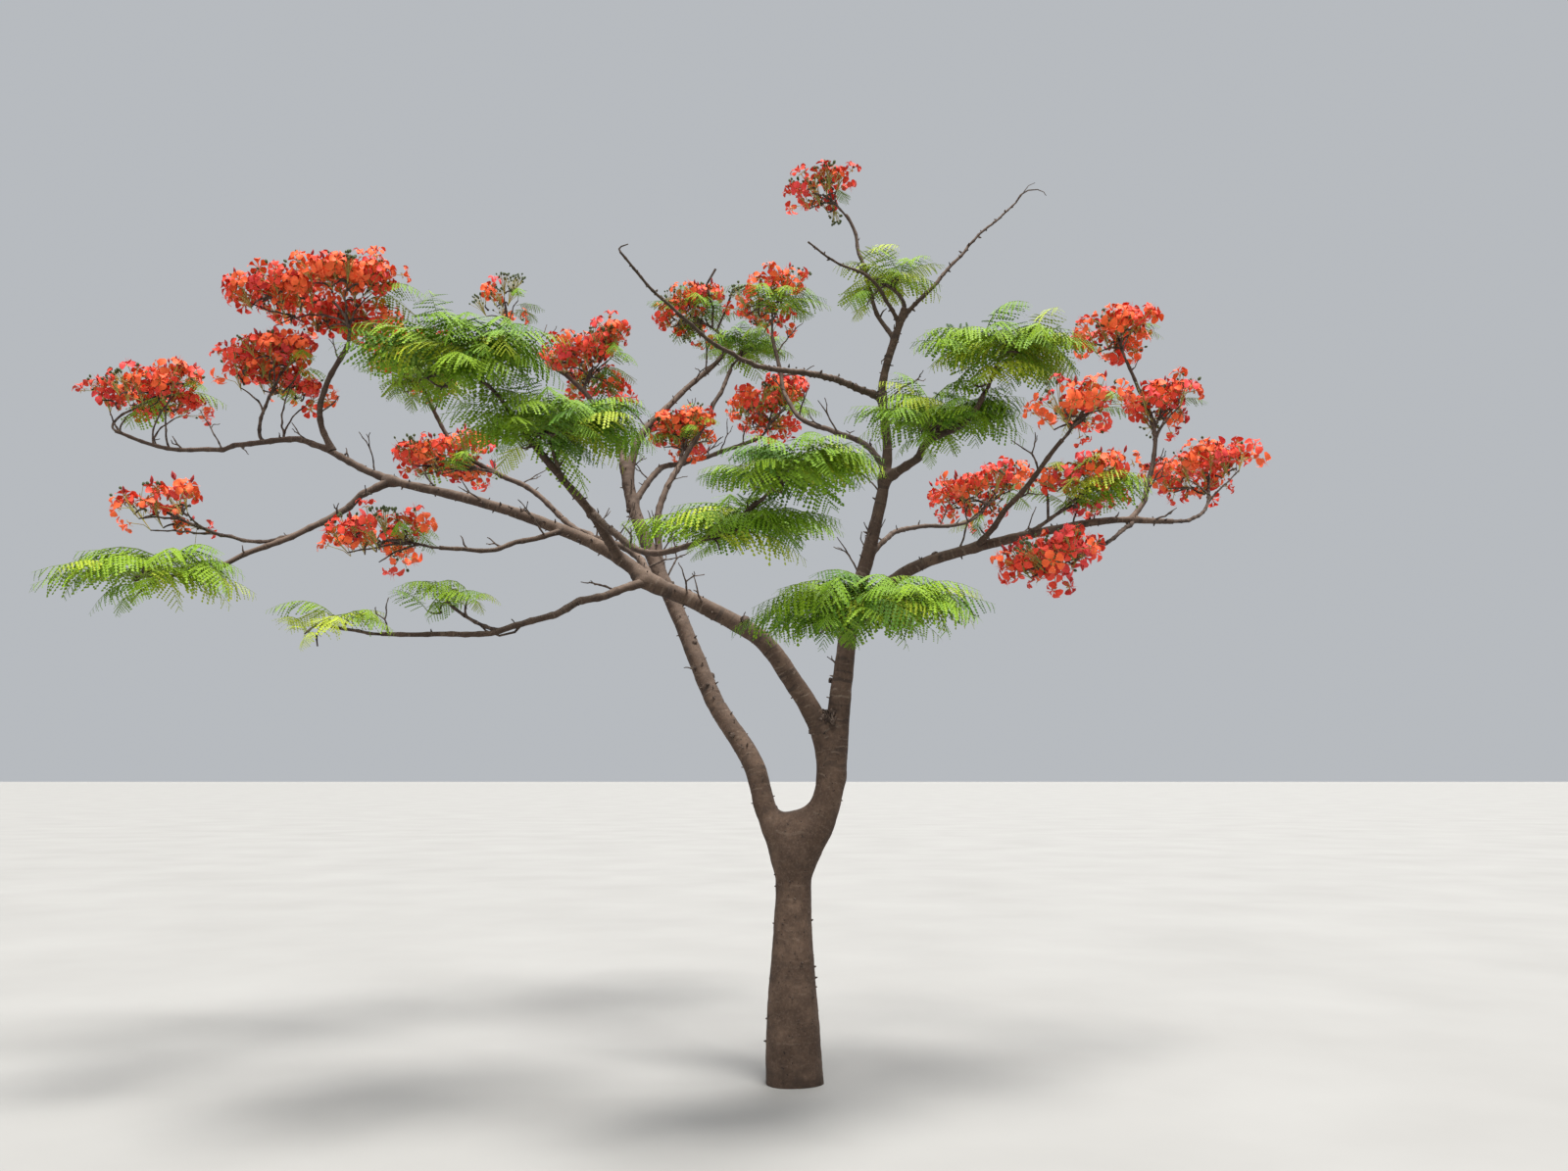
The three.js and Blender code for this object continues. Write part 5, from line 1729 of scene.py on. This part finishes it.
def add_head(twig, radius, leaving_place, blossom, random):
    """A bloom head: flowers over its dome on curved stalks, open below, with buds standing above them."""
    start, leaving = leaving_place
    centre = twig.end
    up = unit(unit(centre - start) * 0.75 + UP * (0.85 if twig.rise > -0.2 else -0.2))
    aside = unit(np.cross(up, (0.3, 1, 0.2)))
    over = np.cross(up, aside)
    node = centre - up * radius * NODE_DEPTH
    add_twig(blossom.twigs, start, node, *BLOOM_TWIG, random, leaving)
    blossom.add_stalk(node, centre + up * radius * 0.3, up, HEAD_STALK)

    def out_at(turn, fall):
        return unit(up * math.cos(fall) + (aside * math.cos(turn) + over * math.sin(turn)) * math.sin(fall))

    budding = random() < BUDDING.get(twig.mass.name, BUD_HEADS)
    reds = list(REDS)
    main = reds[min(int(random() * MAIN_RED_REACH * random.between(*MAIN_RED_DRAWS)), len(reds) - 1)]
    full = FLOWERS_A_HEAD * FULLNESS.get(twig.mass.name, 1) * (radius / BLOOM_RADIUS) ** FULLNESS_GROWTH
    count = 0 if budding else round(full * random.between(*FULLNESS_DRAWS))
    first_turn = random() * 2 * math.pi
    for i in range(count):
        turn = first_turn + i * GOLDEN_ANGLE
        fall = OPEN_TURN * math.sqrt((i + 0.4) / count)
        out = out_at(turn, fall)
        place = centre + out * radius * random.between(*FLOWER_OUT) * HEAD_DOME
        face = unit(out * 0.8 + UP * random.between(0.1, 0.5) + random.offset(0.35))
        if fall > HANGING_FALL or random() < HANGING_SHARE:
            kind, face = HANGING, unit(out * 0.6 - UP * random.between(0.3, 0.8))
        else:
            kind = OPEN if random() < OPEN_SHARE else HALF_OPEN
        size = random.between(*FLOWER_WIDTHS)
        lean = (math.cos(turn * 3), math.sin(turn * 3), 0.1)
        name = main if random() < MAIN_RED_SHARE else reds[random.pick(len(reds))]
        blossom.flowers[name].add(place, lean, face, size, kind)
        blossom.calyces.add(place, lean, face, size, 0)
        root = node + up * radius * random.between(*FLOWER_ROOTS)
        blossom.add_stalk(root, place - face * size * 0.12, up, FLOWER_STALK)
    for i in range(round(random.between(*BUDS[budding]))):
        out = out_at(first_turn + (i + 0.5) * GOLDEN_ANGLE, random.between(*BUD_FALLS))
        reach = radius * random.between(*BUDS_OUT[budding])
        place = centre + out * reach * BUD_DOME - up * radius * 0.1
        if not budding and random() < FURLED_SHARE:
            blossom.furled.add(place, BUD_LEAN, out + UP * 0.6, random.between(*FURLED_LENGTHS), 0)
        else:
            size = random.between(*BUD_WIDTHS)
            blossom.buds.add(place, BUD_LEAN, out + UP * 0.3, size, random.pick(2))
        blossom.add_stalk(node, place, up, BUD_STALK)


class Blossom:
    """All the bloom heads' parts, each kind gathered apart."""

    def __init__(self):
        self.flowers = {name: Scatter() for name in REDS}
        self.calyces, self.buds, self.furled = Scatter(), Scatter(), Scatter()
        self.stalks, self.twigs = Growths(), Growths()

    def add_stalk(self, start, end, up, radius):
        """A thin stalk that sets off along the head's axis and curves out to its flower."""
        middle = start + up * np.linalg.norm(end - start) * 0.4
        self.stalks.add([bend(start, middle, end)(share) for share in (0, 0.45, 1)], radius)


def make_blossom():
    """Every bloom head's flowers, calyces, buds, furled flowers and stalks as pieces, and all the twigs."""
    blossom = Blossom()
    for mass in masses:
        random = Draws(mass.seed + BLOSSOM_SEED)
        earlier = []
        for twig, radius in mass.heads:
            add_head(twig, radius, leave_from(mass, twig, earlier), blossom, random)
            earlier.append(twig)
    pieces = []
    for name, scatter in blossom.flowers.items():
        random = Draws(FLOWER_SEED)
        meshes = [flower_shape(rise, curl, random) for rise, curl in FLOWER_KINDS]
        pieces.append(scatter.made(name, PETALS, meshes, petal_finish(name.replace("_", " "), *REDS[name])))
    calyx = petal_finish("olive and red calyx", (0.42, 0.36, 0.06), (0.5, 0.12, 0.03))
    bud = petal_finish("dark green bud", (0.06, 0.085, 0.02), (0.035, 0.05, 0.018))
    furled = petal_finish("dark red furled petal", (0.36, 0.016, 0.016), (0.2, 0.01, 0.012))
    stalk = petal_finish("olive stalk", (0.32, 0.33, 0.07), (0.3, 0.17, 0.05))
    pieces += [
        blossom.calyces.made("calyces", LEAVES, [calyx_shape(Draws(CALYX_SEED))], calyx),
        blossom.buds.made("buds", PETALS, [bead_shape(1.05), bead_shape(1.4)], bud),
        blossom.furled.made("furled_flowers", PETALS, [furled_shape(Draws(FURLED_SEED))], furled),
        blossom.stalks.made("flower_stalks", sides=3, finish=stalk)]
    return pieces, blossom.twigs


# The whole tree.

TUBES = tube_tree()
RELIEF = relief_tree()
LEAVES = scatter_tree("leaves", False)
PETALS = scatter_tree("petals", True)
# Each bark's pair sets how much darker it grows higher up: partly younger bark, partly painted shade.
BARK = bark_finish("grey-brown bark", (0.0, 0.62))
THIN_BARK = bark_finish("darker thin bark", (0.35, 0.72))
TWIG_BARK = twig_finish()
skin_lines = []
for name in THICK_LIMBS:
    points, radii, lengths = stations_of(limbs[name], FIELD_SPACING)
    skin_lines.append(((points, radii), lengths, BLEND_SHARE * limbs[name].radius[0]))
for name, limb in limbs.items():
    if name not in THICK_LIMBS and limb.parent and limb.parent.name in THICK_LIMBS:
        reach = limb.parent.radius_at(limb.start_share) + JOINT_REACH * limb.radius[0]
        points, radii, lengths = stations_of(limb, JOINT_SPACING, reach / limb.way.length)
        skin_lines.append(((points, radii * JOINT_SLIMMER), lengths, JOINT_BLEND * limb.radius[0]))

bark = make_bark()
wood = Growths()
random = Draws(WOOD_SEED)
for name, limb in limbs.items():
    if name not in THICK_LIMBS:
        add_limb(wood, limb, random)
thin_bark = wood.made("bark_thin_boughs", sides=10, finish=THIN_BARK)
leaf_pieces = make_leaves()
blossom_pieces, twigs = make_blossom()
for mass in masses:
    add_stem(twigs, mass, random)
    for i, twig in enumerate(mass.leaf_twigs):
        start, leaving = leave_from(mass, twig, mass.leaf_twigs[:i])
        add_twig(twigs, start, twig.at(LAST_LEAF), *LEAF_TWIG, random, leaving)
for name, limb in limbs.items():
    if name not in BARE_ARMS:
        add_sticks(twigs, limb, random)
add_collar(twigs, random)
add_trunk_stubs(twigs, random)
for name in THICK_LIMBS + BARE_ARMS:
    add_limb_stubs(twigs, limbs[name], random)
add_crooked_sticks(twigs)
twig_piece = twigs.made("twigs", sides=5, finish=TWIG_BARK)
knots = make_knots()

for piece in (bark, thin_bark, twig_piece, knots, *leaf_pieces, *blossom_pieces):
    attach(piece, "root")
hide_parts("trunk", *THICK_LIMBS)
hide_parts(*(name for name in limbs if name not in THICK_LIMBS))
leafy = [mass.name for mass in masses if mass.leafy]
flowery = [mass.name for mass in masses if not mass.leafy]
for piece in leaf_pieces:
    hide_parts(*leafy)
for piece in blossom_pieces:
    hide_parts(*flowery)


# Floor, light and camera.

CROWN_MIDDLE = Vector((-0.6, 0, 2.8))
FLOOR_REACH = 300


def lamp(name, place, softness, strength, colour):
    """A far, wide and even light that shines from a place towards the crown."""
    light = bpy.data.lights.new(name, "SUN")
    light.angle, light.energy, light.color = math.radians(softness), strength, colour
    lamp_object = placed(name, light)
    lamp_object.location = place
    lamp_object.rotation_euler = (CROWN_MIDDLE - Vector(place)).to_track_quat("-Z", "Y").to_euler()


def make_stage():
    """A wide pale floor, an even sky, and three soft lights on the crown."""
    corners = [(x * FLOOR_REACH, y * FLOOR_REACH, 0) for x, y in ((-1, -1), (1, -1), (1, 1), (-1, 1))]
    floor = placed("floor", plain_mesh("floor", corners, (), [(0, 1, 2, 3)]))
    pale = Finish("pale floor", 0.9, 0.1)
    pale.blend(pale.spread(pale.noise(0.6, 4.0), 0.3, 0.7), (0.32, 0.315, 0.305), (0.29, 0.285, 0.275))
    pale.tree.links.new(pale.colour, pale.shader.inputs["Base Color"])
    floor.data.materials.append(pale.material)
    world = bpy.data.worlds.new("pale studio")
    world.use_nodes = True
    sky = world.node_tree.nodes["Background"]
    sky.inputs["Color"].default_value = (0.86, 0.9, 0.95, 1)
    sky.inputs["Strength"].default_value = 0.55
    scene.world = world
    lamp("soft key from above", (1.2, -2.4, 13.0), 22, 5.6, (1, 0.98, 0.94))
    lamp("soft fill from the front", (-3.5, -8.5, 3.6), 70, 1.7, (1, 0.99, 0.97))
    lamp("soft light from behind", (1.5, 6.5, 7.0), 60, 1.6, (0.97, 0.98, 1))
    scene.view_settings.view_transform = "Standard"


make_stage()
camera = placed("camera", bpy.data.cameras.new("camera"))
camera.location = CAMERA_PLACE
camera.rotation_euler = (CAMERA_TILT, 0, 0)
camera.data.lens = CAMERA_LENS
camera.data.sensor_width = 36
camera.data.clip_end = 300
scene.camera = camera
